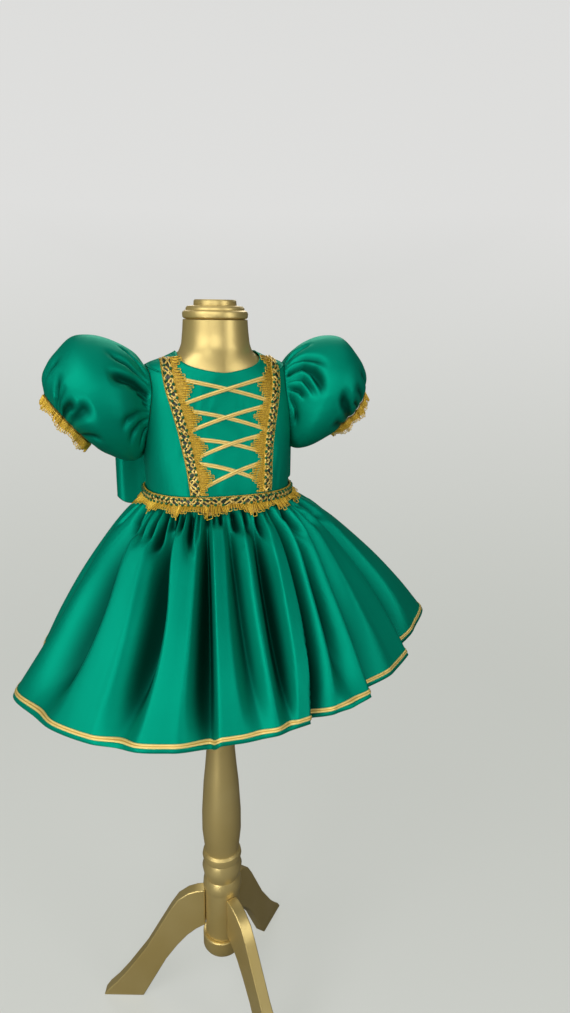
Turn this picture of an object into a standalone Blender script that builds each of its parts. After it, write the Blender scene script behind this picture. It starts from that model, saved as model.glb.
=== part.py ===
"""A child's princess dress on a limbless dress form with a turned column and three sawn legs.

Metres, +Z up. The origin is on the floor, under the middle of the box round the whole, and the front of the
dress faces -Y. Every piece is modelled round the axis of the stand and parented to an empty on that axis.
"Left" and "right" in the names are as seen from the front: left is -X.
"""
import bpy
import bmesh
import math
from mathutils import Vector

# The stand's axis, measured from the origin
STAND_X = -0.0090
STAND_Y = -0.0029

# Cloth
CLOTH_WALL = 0.0015
CLOTH_TO_FORM = 0.0014
BODICE_OUT = CLOTH_TO_FORM + CLOTH_WALL
SEAM_GAP = 0.0004
REST_GAP = 0.00035
LACE_WALL = 0.0012
RIBBON_WALL = 0.0007

# Heights of the dress
WAIST_Z = 0.836
NECK_FRONT_Z = 0.989
NECK_BACK_Z = 1.001
NECK_SIDE_Z = 1.009
SHOULDER_TIP_Z = 0.9945
UNDERARM_Z = 0.8935

# Shares of a bodice panel's side edge: side seam up to the first, armhole up to the second, then shoulder seam
BODICE_SIDE_SHARE = 0.30
BODICE_ARMHOLE_SHARE = 0.88

# Armhole, an ellipse in the side view
ARMHOLE_Z = 0.944
ARMHOLE_HALF_HEIGHT = 0.049
ARMHOLE_HALF_DEPTH = 0.035
ARMHOLE_CLEARANCE = 0.0014

# Stations up the dress form: height, half width, depth in front, depth behind, power of the section curve
FORM_STATIONS = (
    # z, half_width, front, back, power
    (0.620, 0.062, 0.050, 0.044, 2.0),
    (0.626, 0.076, 0.060, 0.054, 2.1),
    (0.642, 0.087, 0.067, 0.063, 2.2),
    (0.680, 0.091, 0.069, 0.068, 2.3),
    (0.730, 0.091, 0.071, 0.068, 2.4),
    (0.785, 0.088, 0.073, 0.060, 2.4),
    (0.836, 0.0860, 0.0725, 0.053, 2.4),
    (0.868, 0.0870, 0.0680, 0.055, 2.5),
    (0.900, 0.0885, 0.0570, 0.060, 2.7),
    (0.930, 0.0885, 0.0500, 0.061, 2.9),
    (0.950, 0.0880, 0.0465, 0.059, 2.8),
    (0.970, 0.0875, 0.0440, 0.054, 2.3),
    (0.985, 0.0860, 0.0430, 0.046, 1.75),
    (0.994, 0.0800, 0.0425, 0.043, 1.5),
    (1.002, 0.0600, 0.0425, 0.0425, 1.6),
    (1.009, 0.0470, 0.0425, 0.0425, 1.85),
    (1.016, 0.0425, 0.0425, 0.0425, 2.0),
    (1.030, 0.0400, 0.0400, 0.0400, 2.0),
    (1.0478, 0.0385, 0.0385, 0.0385, 2.0),
)
FORM_SEGMENTS = 28
FORM_ROUNDING = 0.003

# Puff sleeve rings from armhole to cuff: the top and the low point of each ring and its half depth
SLEEVE_RINGS = (
    # along, top_x, top_z, low_x, low_z, half_depth
    (0.00, 0.0880, 0.9930, 0.0900, 0.8950, 0.0350),
    (0.10, 0.0970, 1.0070, 0.0930, 0.8890, 0.0440),
    (0.21, 0.1090, 1.0170, 0.0970, 0.8855, 0.0530),
    (0.34, 0.1290, 1.0260, 0.1040, 0.8830, 0.0610),
    (0.48, 0.1500, 1.0300, 0.1130, 0.8835, 0.0650),
    (0.61, 0.1690, 1.0275, 0.1220, 0.8860, 0.0660),
    (0.74, 0.1850, 1.0140, 0.1320, 0.8910, 0.0630),
    (0.86, 0.1985, 0.9970, 0.1410, 0.8960, 0.0560),
    (0.94, 0.2050, 0.9810, 0.1480, 0.9010, 0.0470),
    (1.00, 0.2040, 0.9640, 0.1540, 0.9070, 0.0385),
)
SLEEVE_COLUMNS = 48
SLEEVE_ROW_PLACES = (0.0, 0.11, 0.25, 0.43, 0.64, 0.86, 1.0)
SLEEVE_GATHERS = 12
RIGHT_SLEEVE_REACH = 0.90
RIGHT_SLEEVE_LIFT = 0.005
CUFF_LACE_TILT_TOP = math.radians(66.0)
CUFF_LACE_TILT_LOW = math.radians(42.0)

# Skirt
SKIRT_TOP_Z = WAIST_Z - SEAM_GAP
SKIRT_GATHERS = 40
SKIRT_COLUMNS = 4 * SKIRT_GATHERS
SKIRT_SLOPE_LENGTH = 0.272
SKIRT_CHORD = 0.270
SKIRT_CHORD_LESS_RIGHT = 0.020
SKIRT_ROW_PLACES = (0.0, 0.06, 0.16, 0.32, 0.52, 0.75, 0.955, 1.0)
GATHER_HEIGHT = 0.0024

SKIRT_PROFILE = (
    # along, outward, downward
    (0.00, 0.00, 0.00),
    (0.10, 0.13, 0.07),
    (0.25, 0.31, 0.19),
    (0.50, 0.58, 0.44),
    (0.75, 0.80, 0.72),
    (1.00, 1.00, 1.00),
)

HEM_RADII = (
    # angle_deg, mean_radius
    (-135.0, 0.246),
    (-95.0, 0.240),
    (-67.0, 0.262),
    (-40.0, 0.258),
    (-10.0, 0.251),
    (20.0, 0.244),
    (50.0, 0.244),
    (75.0, 0.275),
    (105.0, 0.252),
    (140.0, 0.249),
    (180.0, 0.249),
)

# Ridges and valleys of the skirt, round the body from the wearer's right: a row for each
SKIRT_FOLDS = (
    # waist_deg, hem_deg, rise_middle, rise_hem, lean
    (-106.0, -97.0, -0.012, -0.017, 0.000),
    (-86.0, -68.0, 0.008, 0.014, -0.002),
    (-67.0, -57.0, -0.008, -0.001, 0.000),
    (-55.0, -44.0, 0.010, 0.002, 0.000),
    (-46.0, -35.0, -0.013, -0.003, 0.000),
    (-34.0, -27.0, 0.009, 0.003, 0.000),
    (-20.0, -14.0, -0.017, -0.009, 0.000),
    (-12.0, -9.5, 0.009, 0.002, -0.003),
    (-4.0, -3.5, -0.006, -0.002, 0.000),
    (5.0, 3.5, 0.009, 0.003, 0.003),
    (22.0, 12.0, -0.015, -0.016, 0.000),
    (29.0, 26.0, 0.008, 0.010, 0.003),
    (48.0, 38.0, -0.011, -0.013, 0.000),
    (55.0, 50.0, 0.008, 0.009, 0.003),
    (70.0, 65.0, -0.012, -0.012, 0.000),
    (82.0, 76.0, 0.006, 0.012, 0.002),
    (101.0, 98.0, -0.012, -0.016, 0.000),
    (117.0, 119.0, 0.010, 0.012, 0.000),
    (134.0, 136.0, -0.012, -0.014, 0.000),
    (150.0, 151.0, 0.010, 0.012, 0.000),
    (166.0, 166.0, -0.011, -0.013, 0.000),
    (182.0, 181.0, 0.010, 0.009, 0.000),
    (199.0, 197.0, -0.012, -0.014, 0.000),
    (215.0, 214.0, 0.010, 0.010, 0.000),
    (230.0, 230.0, -0.012, -0.012, 0.000),
    (243.0, 247.0, 0.009, 0.008, 0.000),
)

# Hem ribbon
HEM_RIBBON_LOW = 0.0045
HEM_RIBBON_WIDTH = 0.0055

# Lace
LACE_TIP = 0.0115
TRIM_SHIFT = 0.0018
STRIP_STATIONS = (
    # z, outer_x, width_at_notch
    (0.8505, 0.0500, 0.0185),
    (0.8870, 0.0543, 0.0180),
    (0.9200, 0.0600, 0.0185),
    (0.9450, 0.0655, 0.0200),
    (0.9700, 0.0710, 0.0205),
    (0.9970, 0.0715, 0.0190),
)
STRIP_TOP_NOTCH_Z = 0.9895
STRIP_PITCH = 0.0336
STRIP_ROWS = 22
STRIP_TOP_SLANT = 0.22
STRIP_GAP = 0.0007
WAIST_SCALLOPS = 14
WAIST_BRAID_TOP_Z = 0.8490
WAIST_LACE_LIFT = 0.0033
CUFF_SCALLOPS = 7
CUFF_LACE_LENGTH = 0.0145
CUFF_LACE_CLEARANCE = 0.0014

# Ribbon lacing: each ribbon runs from a height beside the left strip to a height beside the right strip
LACING_WIDTH = 0.005
LACING_ARCH = 0.0025
LACING_END_GAP = 0.0015
LACING_COLUMNS = 8
LACING_RIBBONS = (
    # name, left_z, right_z, over
    ("lacing_1_under", 0.9800, 0.9550, 0.0),
    ("lacing_1_over", 0.9540, 0.9810, 1.0),
    ("lacing_2_under", 0.9455, 0.9220, 0.0),
    ("lacing_2_over", 0.9230, 0.9485, 1.0),
    ("lacing_3_under", 0.9135, 0.8975, 0.0),
    ("lacing_3_over", 0.8935, 0.9150, 1.0),
    ("lacing_4_under", 0.8862, 0.8665, 0.0),
    ("lacing_4_over", 0.8600, 0.8828, 1.0),
)

# Bow
BOW_LOOPS = (
    # name, hand, half_width, middle_z, end_half_height
    ("bow_loop_left", -1.0, 0.118, 0.868, 0.060),
    ("bow_loop_right", 1.0, 0.127, 0.872, 0.046),
)
BOW_Z = 0.868
BOW_Y = 0.0665
BOW_LEAN = 0.11
BOW_SWING_BACK = 0.0150
BOW_PINCH_HALF_HEIGHT = 0.0165
BOW_PINCH_HALF_DEPTH = 0.0031
BOW_FOLD_RADIUS = 0.010
BOW_LOOP_DEPTH_FAR = 0.0130
BOW_LOOP_DEPTH_NEAR = 0.0080
BOW_PLEAT = 0.0011
KNOT_HALF_WIDTH = 0.011
KNOT_HALF_HEIGHT = 0.0225
KNOT_HALF_DEPTH = 0.0075
KNOT_WAIST = 0.06

# Cap on the neck: radius and height, from the middle of the top round to the middle of the underside
CAP_PROFILE = (
    # radius, z
    (0.0240, 1.0705),
    (0.0252, 1.0690),
    (0.0256, 1.0640),
    (0.0330, 1.0630),
    (0.0347, 1.0610),
    (0.0350, 1.0588),
    (0.0382, 1.0570),
    (0.0392, 1.0545),
    (0.0388, 1.0505),
    (0.0370, 1.0487),
    (0.0350, 1.0481),
)

# Turned column: radius and height from the plate under the form to the leg block
COLUMN_PROFILE = (
    # radius, z
    (0.0300, 0.6196),
    (0.0300, 0.6130),
    (0.0205, 0.6060),
    (0.0200, 0.4600),
    (0.0225, 0.4300),
    (0.0255, 0.4000),
    (0.0284, 0.3520),
    (0.0285, 0.3200),
    (0.0262, 0.2970),
    (0.0246, 0.2840),
    (0.0280, 0.2810),
    (0.0290, 0.2755),
    (0.0280, 0.2700),
    (0.0252, 0.2680),
    (0.0295, 0.2560),
    (0.0275, 0.2440),
    (0.0252, 0.2370),
    (0.0282, 0.2300),
    (0.0288, 0.2210),
    (0.0280, 0.2170),
    (0.0259, 0.2150),
    (0.0259, 0.1320),
)
BASE_PROFILE = (
    # radius, z
    (0.0290, 0.1316),
    (0.0302, 0.1300),
    (0.0302, 0.1090),
    (0.0280, 0.1050),
)
TURNED_SEGMENTS = 18
CAP_SEGMENTS = 24

# Legs, sawn from board: the outline of one leg, out from the column
LEG_AZIMUTHS_DEG = (46.0, 161.0, 287.0)
LEG_THICKNESS = 0.017
LEG_UPPER_EDGE = (
    # radius, z
    (0.0262, 0.2103),
    (0.0391, 0.2086),
    (0.0526, 0.2036),
    (0.0681, 0.1915),
    (0.0802, 0.1721),
    (0.0966, 0.1427),
    (0.1197, 0.0977),
    (0.1365, 0.0722),
    (0.1514, 0.0502),
    (0.1684, 0.0278),
    (0.1832, 0.0119),
    (0.1909, 0.0000),
)
LEG_LOWER_EDGE = (
    # radius, z
    (0.1276, 0.0000),
    (0.1189, 0.0186),
    (0.1039, 0.0475),
    (0.0891, 0.0757),
    (0.0706, 0.1038),
    (0.0545, 0.1240),
    (0.0406, 0.1365),
    (0.0262, 0.1455),
)

SATIN = ("emerald_satin", (0.0, 0.235, 0.155, 1.0), 0.34, 0.0)
LACE = ("gold_lace", (0.52, 0.30, 0.035, 1.0), 0.45, 0.6)
RIBBON = ("gold_ribbon", (0.62, 0.48, 0.14, 1.0), 0.38, 0.7)
PAINT = ("gold_paint", (0.50, 0.37, 0.13, 1.0), 0.38, 0.8)


# Plain helpers

def clear_scene():
    for item in list(bpy.data.objects):
        bpy.data.objects.remove(item, do_unlink=True)


def make_axis():
    """The empty on the stand's axis that every piece is parented to."""
    axis = bpy.data.objects.new("stand_axis", None)
    axis.location = (STAND_X, STAND_Y, 0.0)
    bpy.context.collection.objects.link(axis)


def make_material(spec):
    name, colour, roughness, metallic = spec
    material = bpy.data.materials.get(name)
    if material is None:
        material = bpy.data.materials.new(name)
        material.use_nodes = True
        shader = material.node_tree.nodes["Principled BSDF"]
        shader.inputs["Base Color"].default_value = colour
        shader.inputs["Roughness"].default_value = roughness
        shader.inputs["Metallic"].default_value = metallic
    return material


def finish_object(name, bm, spec):
    bmesh.ops.recalc_face_normals(bm, faces=bm.faces[:])
    mesh = bpy.data.meshes.new(name)
    bm.to_mesh(mesh)
    bm.free()
    item = bpy.data.objects.new(name, mesh)
    bpy.context.collection.objects.link(item)
    item.parent = bpy.data.objects["stand_axis"]
    material = make_material((name + "_" + spec[0],) + spec[1:])
    mesh.materials.append(material)
    mesh.shade_smooth()
    mesh.set_sharp_from_angle(angle=math.radians(40.0))
    return item


def table_value(rows, key, column):
    """Straight-line reading of one column of a table whose first column rises."""
    if key <= rows[0][0]:
        return rows[0][column]
    for low, high in zip(rows, rows[1:]):
        if key <= high[0]:
            share = (key - low[0]) / (high[0] - low[0])
            return low[column] + share * (high[column] - low[column])
    return rows[-1][column]


def rounded_value(rows, key, column, step):
    """The same reading, averaged over five places so that the corners are rounded."""
    return sum(table_value(rows, key + shift * step, column) for shift in (-2, -1, 0, 1, 2)) / 5.0


def signed_power(value, power):
    return math.copysign(abs(value) ** power, value)


def smooth_share(share):
    share = min(1.0, max(0.0, share))
    return share * share * (3.0 - 2.0 * share)


def raised_point(surface, along, up, height):
    """A point of a surface moved out along its normal."""
    here = surface(along, up)
    if height == 0.0:
        return here
    step_along = surface(along + 0.004, up) - surface(along - 0.004, up)
    step_up = surface(along, up + 0.0006) - surface(along, up - 0.0006)
    return here + step_along.cross(step_up).normalized() * height


def row_place(places, share):
    """The place of a row, from a list of places and the row's share of the way along."""
    position = share * (len(places) - 1)
    index = min(int(position + 0.001), len(places) - 2)
    return places[index] + (places[index + 1] - places[index]) * (position - index)


def cloth_sheet(name, columns, rows, place, spec, closed=False):
    """A wall of cloth: place(u, v, side) gives its outer side (0) and its inner side (1)."""
    bm = bmesh.new()
    bmesh.ops.create_grid(bm, x_segments=columns, y_segments=rows, size=0.5)
    across = bm.verts.layers.float.new("across")
    along = bm.verts.layers.float.new("along")
    for vert in bm.verts:
        vert[across] = vert.co.x + 0.5
        vert[along] = vert.co.y + 0.5
    for vert in bm.verts:
        vert.co = place(vert[across], vert[along], 0)
    if closed:
        bmesh.ops.remove_doubles(bm, verts=bm.verts[:], dist=0.00001)
    sheet = bm.faces[:] + bm.edges[:] + bm.verts[:]
    grown = bmesh.ops.extrude_face_region(bm, geom=sheet, use_keep_orig=True)
    for item in grown["geom"]:
        if isinstance(item, bmesh.types.BMVert):
            item.co = place(item[across], item[along], 1)
    return finish_object(name, bm, spec)


def turned_piece(name, profile, spec, segments=TURNED_SEGMENTS):
    """A lathe-turned solid: rings of the profile bridged together and capped at both ends."""
    bm = bmesh.new()
    rings = []
    for radius, height in profile:
        ring = bmesh.ops.create_circle(bm, cap_ends=False, segments=segments, radius=radius)["verts"]
        bmesh.ops.translate(bm, verts=ring, vec=(0.0, 0.0, height))
        rings.append(ring)
    for upper, lower in zip(rings, rings[1:]):
        upper_edges = {edge for vert in upper for edge in vert.link_edges if edge.other_vert(vert) in upper}
        lower_edges = {edge for vert in lower for edge in vert.link_edges if edge.other_vert(vert) in lower}
        bmesh.ops.bridge_loops(bm, edges=list(upper_edges | lower_edges))
    bm.faces.new(rings[0])
    bm.faces.new(rings[-1])
    return finish_object(name, bm, spec)


# The body surface that the form and the bodice share

def body_section(z):
    return tuple(rounded_value(FORM_STATIONS, z, column, FORM_ROUNDING) for column in (1, 2, 3, 4))


def body_surface(angle, z):
    """The form's surface: angle 0 is the centre front and grows towards +X."""
    half_width, front, back, power = body_section(z)
    depth = front if math.cos(angle) > 0.0 else back
    x = half_width * signed_power(math.sin(angle), 2.0 / power)
    y = -depth * signed_power(math.cos(angle), 2.0 / power)
    return Vector((x, y, z))


def body_point(angle, z, height):
    return raised_point(body_surface, angle, z, height)


def body_angle_at_depth(y, z):
    """The angle from the centre front (or back) at which the section reaches a depth."""
    half_width, front, back, power = body_section(z)
    depth = front if y < 0.0 else back
    return math.acos(min(1.0, abs(y) / depth) ** (power / 2.0))


def body_angle_at_width(x, z, height):
    half_width, front, back, power = body_section(z)
    share = min(1.0, abs(x) / (half_width + height))
    return math.copysign(math.asin(share ** (power / 2.0)), x)


# Dress form and stand

def build_form():
    bm = bmesh.new()
    heights = [station[0] for station in FORM_STATIONS]
    rings = []
    for z in heights:
        ring = bmesh.ops.create_circle(bm, cap_ends=False, segments=FORM_SEGMENTS, radius=1.0)["verts"]
        for index, vert in enumerate(ring):
            vert.co = body_surface(2.0 * math.pi * index / FORM_SEGMENTS, z)
        rings.append(ring)
    for lower, upper in zip(rings, rings[1:]):
        for index in range(FORM_SEGMENTS):
            after = (index + 1) % FORM_SEGMENTS
            bm.faces.new((lower[index], lower[after], upper[after], upper[index]))
    bm.faces.new(rings[0])
    bm.faces.new(rings[-1])
    finish_object("form_torso", bm, PAINT)


def build_leg(number, azimuth_deg):
    bm = bmesh.new()
    outline = LEG_UPPER_EDGE + LEG_LOWER_EDGE
    verts = [bm.verts.new((radius, -LEG_THICKNESS / 2.0, z)) for radius, z in outline]
    board = bm.faces.new(verts)
    grown = bmesh.ops.extrude_face_region(bm, geom=[board], use_keep_orig=True)
    moved = [item for item in grown["geom"] if isinstance(item, bmesh.types.BMVert)]
    bmesh.ops.translate(bm, verts=moved, vec=(0.0, LEG_THICKNESS, 0.0))
    bmesh.ops.triangulate(bm, faces=[face for face in bm.faces if len(face.verts) > 4])
    leg = finish_object("leg_%d" % number, bm, PAINT)
    leg.rotation_euler = (0.0, 0.0, math.radians(azimuth_deg))


def build_stand():
    turned_piece("neck_cap", CAP_PROFILE, PAINT, CAP_SEGMENTS)
    turned_piece("column", COLUMN_PROFILE, PAINT)
    turned_piece("column_base", BASE_PROFILE, PAINT)
    for number, azimuth_deg in enumerate(LEG_AZIMUTHS_DEG, start=1):
        build_leg(number, azimuth_deg)


# Bodice

def armhole_depth_and_height(turn):
    """A point of the bodice's armhole edge; turn runs from the underarm (0) to the shoulder tip (1)."""
    swing = math.pi * (turn - 0.5)
    depth = (ARMHOLE_HALF_DEPTH + ARMHOLE_CLEARANCE) * math.cos(swing)
    z = ARMHOLE_Z + (ARMHOLE_HALF_HEIGHT + ARMHOLE_CLEARANCE) * math.sin(swing)
    return depth, z


def bodice_side_edge(up, face):
    """Angle and height of a panel's side edge: side seam, armhole edge, then shoulder seam."""
    seam_depth = face * SEAM_GAP / 2.0
    if up <= BODICE_SIDE_SHARE:
        z = WAIST_Z + (UNDERARM_Z - WAIST_Z) * up / BODICE_SIDE_SHARE
        return body_angle_at_depth(seam_depth, z), z
    if up <= BODICE_ARMHOLE_SHARE:
        turn = (up - BODICE_SIDE_SHARE) / (BODICE_ARMHOLE_SHARE - BODICE_SIDE_SHARE)
        depth, z = armhole_depth_and_height(turn)
        depth = max(depth, SEAM_GAP / 2.0)
        return body_angle_at_depth(face * depth, z), z
    share = (up - BODICE_ARMHOLE_SHARE) / (1.0 - BODICE_ARMHOLE_SHARE)
    z = SHOULDER_TIP_Z + (NECK_SIDE_Z - SHOULDER_TIP_Z) * share
    return body_angle_at_depth(seam_depth, z), z


def bodice_middle_z(up, neck_z):
    if up <= BODICE_SIDE_SHARE:
        return WAIST_Z + (UNDERARM_Z - WAIST_Z) * up / BODICE_SIDE_SHARE
    share = (up - BODICE_SIDE_SHARE) / (1.0 - BODICE_SIDE_SHARE)
    return UNDERARM_Z + (neck_z - UNDERARM_Z) * share


def bodice_place(across, up, side, face, neck_z):
    """across runs from the middle (0) to the side edge (1 at +X, -1 at -X) of the front or the back."""
    edge_angle, edge_z = bodice_side_edge(up, face)
    angle = edge_angle * across
    z = bodice_middle_z(up, neck_z) * (1.0 - abs(across)) + edge_z * abs(across)
    if face > 0.0:
        angle = math.pi - angle
    return body_point(angle, z, BODICE_OUT - side * CLOTH_WALL)


def build_bodice():
    def front(u, v, side):
        return bodice_place(2.0 * u - 1.0, v, side, -1.0, NECK_FRONT_Z)

    def back(u, v, side, hand):
        seam = 0.0025
        return bodice_place(hand * (seam + (1.0 - seam) * u), v, side, 1.0, NECK_BACK_Z)

    cloth_sheet("bodice_front", 22, 12, front, SATIN)
    cloth_sheet("bodice_back_left", 9, 12, lambda u, v, side: back(u, v, side, -1.0), SATIN)
    cloth_sheet("bodice_back_right", 9, 12, lambda u, v, side: back(u, v, side, 1.0), SATIN)


# Puff sleeves

def sleeve_ring(along, turn):
    top_x, top_z, low_x, low_z, half_depth = (
        rounded_value(SLEEVE_RINGS, along, column, 0.02) for column in (1, 2, 3, 4, 5)
    )
    x = (top_x + low_x) / 2.0 + (top_x - low_x) / 2.0 * math.cos(turn)
    z = (top_z + low_z) / 2.0 + (top_z - low_z) / 2.0 * math.cos(turn)
    y = half_depth * math.sin(turn)
    return Vector((x, y, z))


def sleeve_start(turn):
    """The sleeve's first ring, inside the bodice's armhole edge and just clear of the form."""
    z = ARMHOLE_Z + ARMHOLE_HALF_HEIGHT * math.cos(turn)
    y = ARMHOLE_HALF_DEPTH * math.sin(turn)
    angle = body_angle_at_depth(y, z)
    if y > 0.0:
        angle = math.pi - angle
    return body_point(angle, z, CLOTH_TO_FORM + CLOTH_WALL)


def sleeve_gather(along, turn):
    """Gathers run in from the armhole seam and from the cuff and fade over the puff."""
    near_armhole = smooth_share(along / 0.10) * (1.0 - smooth_share((along - 0.10) / 0.45))
    near_cuff = smooth_share((along - 0.52) / 0.36) * (1.0 - 0.55 * smooth_share((along - 0.93) / 0.07))
    wave = math.cos(SLEEVE_GATHERS * turn)
    uneven = 0.8 + 0.3 * math.sin(2.0 * turn + 0.7)
    return wave * uneven * (0.0028 * near_armhole + 0.0026 * near_cuff)


def sleeve_surface(turn, along, hand):
    ring = sleeve_ring(along, turn)
    blend = (1.0 - min(1.0, max(0.0, along) / 0.22)) ** 2
    if blend > 0.0:
        ring += (sleeve_start(turn) - sleeve_ring(0.0, turn)) * blend
    middle = (sleeve_ring(along, 0.0) + sleeve_ring(along, math.pi)) / 2.0
    outward = (ring - middle).normalized()
    point = ring + outward * sleeve_gather(along, turn)
    if hand > 0.0:
        point.x = 0.09 + (point.x - 0.09) * (RIGHT_SLEEVE_REACH if point.x > 0.09 else 1.0)
        point.z += RIGHT_SLEEVE_LIFT * smooth_share(along / 0.25) * (1.0 - math.cos(turn)) / 2.0
    return Vector((hand * point.x, point.y, point.z))


def sleeve_point(turn, along, hand, height):
    def surface(angle, up):
        return sleeve_surface(angle, up, hand)
    return raised_point(surface, turn, along, -hand * height)


def cuff_lace_place(turn, along, side, hand):
    """Lace sewn to the cuff edge and hanging from it; along runs from the seam (0) to the tips (1)."""
    edge = sleeve_point(turn, 1.0, hand, -CLOTH_WALL / 2.0)
    before = sleeve_point(turn, 0.97, hand, -CLOTH_WALL / 2.0)
    middle = (sleeve_surface(0.0, 1.0, hand) + sleeve_surface(math.pi, 1.0, hand)) / 2.0
    outward = (edge - middle).normalized()
    share = (1.0 + math.cos(turn)) / 2.0
    tilt = CUFF_LACE_TILT_LOW + (CUFF_LACE_TILT_TOP - CUFF_LACE_TILT_LOW) * share
    onward = Vector((hand * math.cos(tilt), 0.0, -math.sin(tilt)))
    phase = (turn * CUFF_SCALLOPS / (2.0 * math.pi)) % 1.0
    reach = CUFF_LACE_LENGTH * along * (0.55 + 0.45 * scallop(phase))
    start = edge + (edge - before).normalized() * CUFF_LACE_CLEARANCE
    wall = LACE_WALL * (0.5 - side)
    return start + onward * reach + outward * (0.12 * reach + wall)


def scallop(phase):
    """A leaf-shaped scallop: 0 at the notches and 1 at the tip."""
    return 1.0 - abs(2.0 * phase - 1.0) ** 1.3


def build_sleeve(name, hand):
    def cloth(u, v, side):
        along = row_place(SLEEVE_ROW_PLACES, v)
        return sleeve_point(2.0 * math.pi * u, along, hand, -side * CLOTH_WALL)

    def lace(u, v, side):
        return cuff_lace_place(2.0 * math.pi * u, v, side, hand)

    rows = len(SLEEVE_ROW_PLACES) - 1
    cloth_sheet("sleeve_" + name, SLEEVE_COLUMNS, rows, cloth, SATIN, closed=True)
    cloth_sheet("cuff_lace_" + name, CUFF_SCALLOPS * 4, 1, lace, LACE, closed=True)


# Skirt

def fold_value(angle_deg, along, column_pair):
    """Smooth wave through the ridges and valleys of the fold table at one place down the skirt."""
    middle_column, hem_column = column_pair
    places = [row[0] + (row[1] - row[0]) * along for row in SKIRT_FOLDS]
    turned = (angle_deg - places[0]) % 360.0 + places[0]
    count = len(places)
    for index in range(count):
        start = places[index]
        after = (index + 1) % count
        end = places[after] + (360.0 if after == 0 else 0.0)
        if turned <= end:
            share = smooth_share((turned - start) / (end - start))
            first = SKIRT_FOLDS[index]
            second = SKIRT_FOLDS[after]
            values = []
            for row in (first, second):
                middle = row[middle_column] * math.sin(math.pi * min(1.0, along))
                values.append(middle + row[hem_column] * max(0.0, along) ** 1.6)
            return values[0] + (values[1] - values[0]) * share
    return 0.0


def hem_radius(angle_deg):
    turned = (angle_deg + 135.0) % 360.0 - 135.0
    rows = HEM_RADII + ((225.0, HEM_RADII[0][1]),)
    return rounded_value(rows, turned, 1, 5.0)


def skirt_gather(turn, along):
    rise = smooth_share(along / 0.07) * (1.0 - smooth_share((along - 0.08) / 0.40))
    uneven = 0.85 + 0.25 * math.sin(5.0 * turn + 1.0)
    return GATHER_HEIGHT * rise * uneven * math.cos(SKIRT_GATHERS * turn)


def skirt_surface(turn, along, gathered=1.0):
    """The skirt's outer side: turn is the angle from the centre front, along runs from waist to hem."""
    angle_deg = math.degrees(turn)
    waist = body_point(turn, SKIRT_TOP_Z, BODICE_OUT - 0.0002)
    hem_r = hem_radius(angle_deg)
    outward = Vector((math.sin(turn), -math.cos(turn), 0.0))
    hem = outward * hem_r
    share_out = rounded_value(SKIRT_PROFILE, along, 1, 0.03)
    share_down = rounded_value(SKIRT_PROFILE, along, 2, 0.03)
    reach = hem_r - math.hypot(waist.x, waist.y)
    chord = SKIRT_CHORD - SKIRT_CHORD_LESS_RIGHT * smooth_share((math.sin(turn) + 0.15) / 0.85)
    drop = math.sqrt(chord * chord - reach * reach)
    x = waist.x + (hem.x - waist.x) * share_out
    y = waist.y + (hem.y - waist.y) * share_out
    z = SKIRT_TOP_Z - drop * share_down
    fold = fold_value(angle_deg, along, (2, 3))
    lean = fold_value(angle_deg, along, (4, 4)) * 0.6
    sideways = Vector((math.cos(turn), math.sin(turn), 0.0))
    point = Vector((x, y, z)) + sideways * lean
    point += outward * (fold * 0.85) + Vector((0.0, 0.0, fold * 0.30))
    lift = gathered * skirt_gather(turn, along)
    point += outward * (lift * 0.6) + Vector((0.0, 0.0, lift * 0.8))
    return point


def skirt_point(turn, along, height, gathered=1.0):
    def surface(angle, place):
        return skirt_surface(angle, place, gathered)
    return raised_point(surface, turn, along, -height)


def build_skirt_panel(name, start, end):
    rows = len(SKIRT_ROW_PLACES) - 1

    def place(u, v, side):
        along = row_place(SKIRT_ROW_PLACES, v)
        turn = start + (end - start) * u
        radius = 0.087 + 0.17 * along
        inset = SEAM_GAP * 0.75 / radius
        turn = min(end - inset, max(start + inset, turn))
        return skirt_point(turn, along, -side * CLOTH_WALL)

    cloth_sheet(name, SKIRT_COLUMNS // 2, rows, place, SATIN)


def build_hem_ribbon():
    low = 1.0 - HEM_RIBBON_LOW / SKIRT_SLOPE_LENGTH
    high = low - HEM_RIBBON_WIDTH / SKIRT_SLOPE_LENGTH

    def place(u, v, side):
        height = REST_GAP + RIBBON_WALL * (1.0 - side)
        return skirt_point(2.0 * math.pi * u, high + (low - high) * v, height)

    cloth_sheet("hem_ribbon", SKIRT_COLUMNS, 1, place, RIBBON, closed=True)


def build_waist_lace():
    def place(u, v, side):
        turn = 2.0 * math.pi * u
        wall = LACE_WALL * (1.0 - side)
        if v < 0.25:
            return body_point(turn, WAIST_BRAID_TOP_Z, BODICE_OUT + REST_GAP + wall)
        if v < 0.60:
            return body_point(turn, WAIST_Z + 0.004, BODICE_OUT + REST_GAP + 0.0012 + wall)
        phase = (u * WAIST_SCALLOPS) % 1.0
        reach = (0.0055 + LACE_TIP * scallop(phase)) / SKIRT_SLOPE_LENGTH
        return skirt_point(turn, reach, WAIST_LACE_LIFT + wall, 0.0)

    cloth_sheet("waist_lace", WAIST_SCALLOPS * 4, 2, place, LACE, closed=True)


# Front lace strips and lacing

def strip_edges(z):
    """Outer edge of a lace strip and the width of its straight part at one height."""
    outer_x = rounded_value(STRIP_STATIONS, z, 1, 0.004)
    width = rounded_value(STRIP_STATIONS, z, 2, 0.004)
    return outer_x, width


def strip_inner_edge(z):
    """The scalloped edge of a lace strip, measured from the middle of the trim."""
    outer_x, width = strip_edges(z)
    phase = ((STRIP_TOP_NOTCH_Z - z) / STRIP_PITCH) % 1.0
    return outer_x - width - LACE_TIP * scallop(phase)


def front_trim_point(x, z, height):
    """A point over the bodice front, x measured from the middle of the trim."""
    return body_point(body_angle_at_width(x + TRIM_SHIFT, z, height), z, height)


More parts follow.
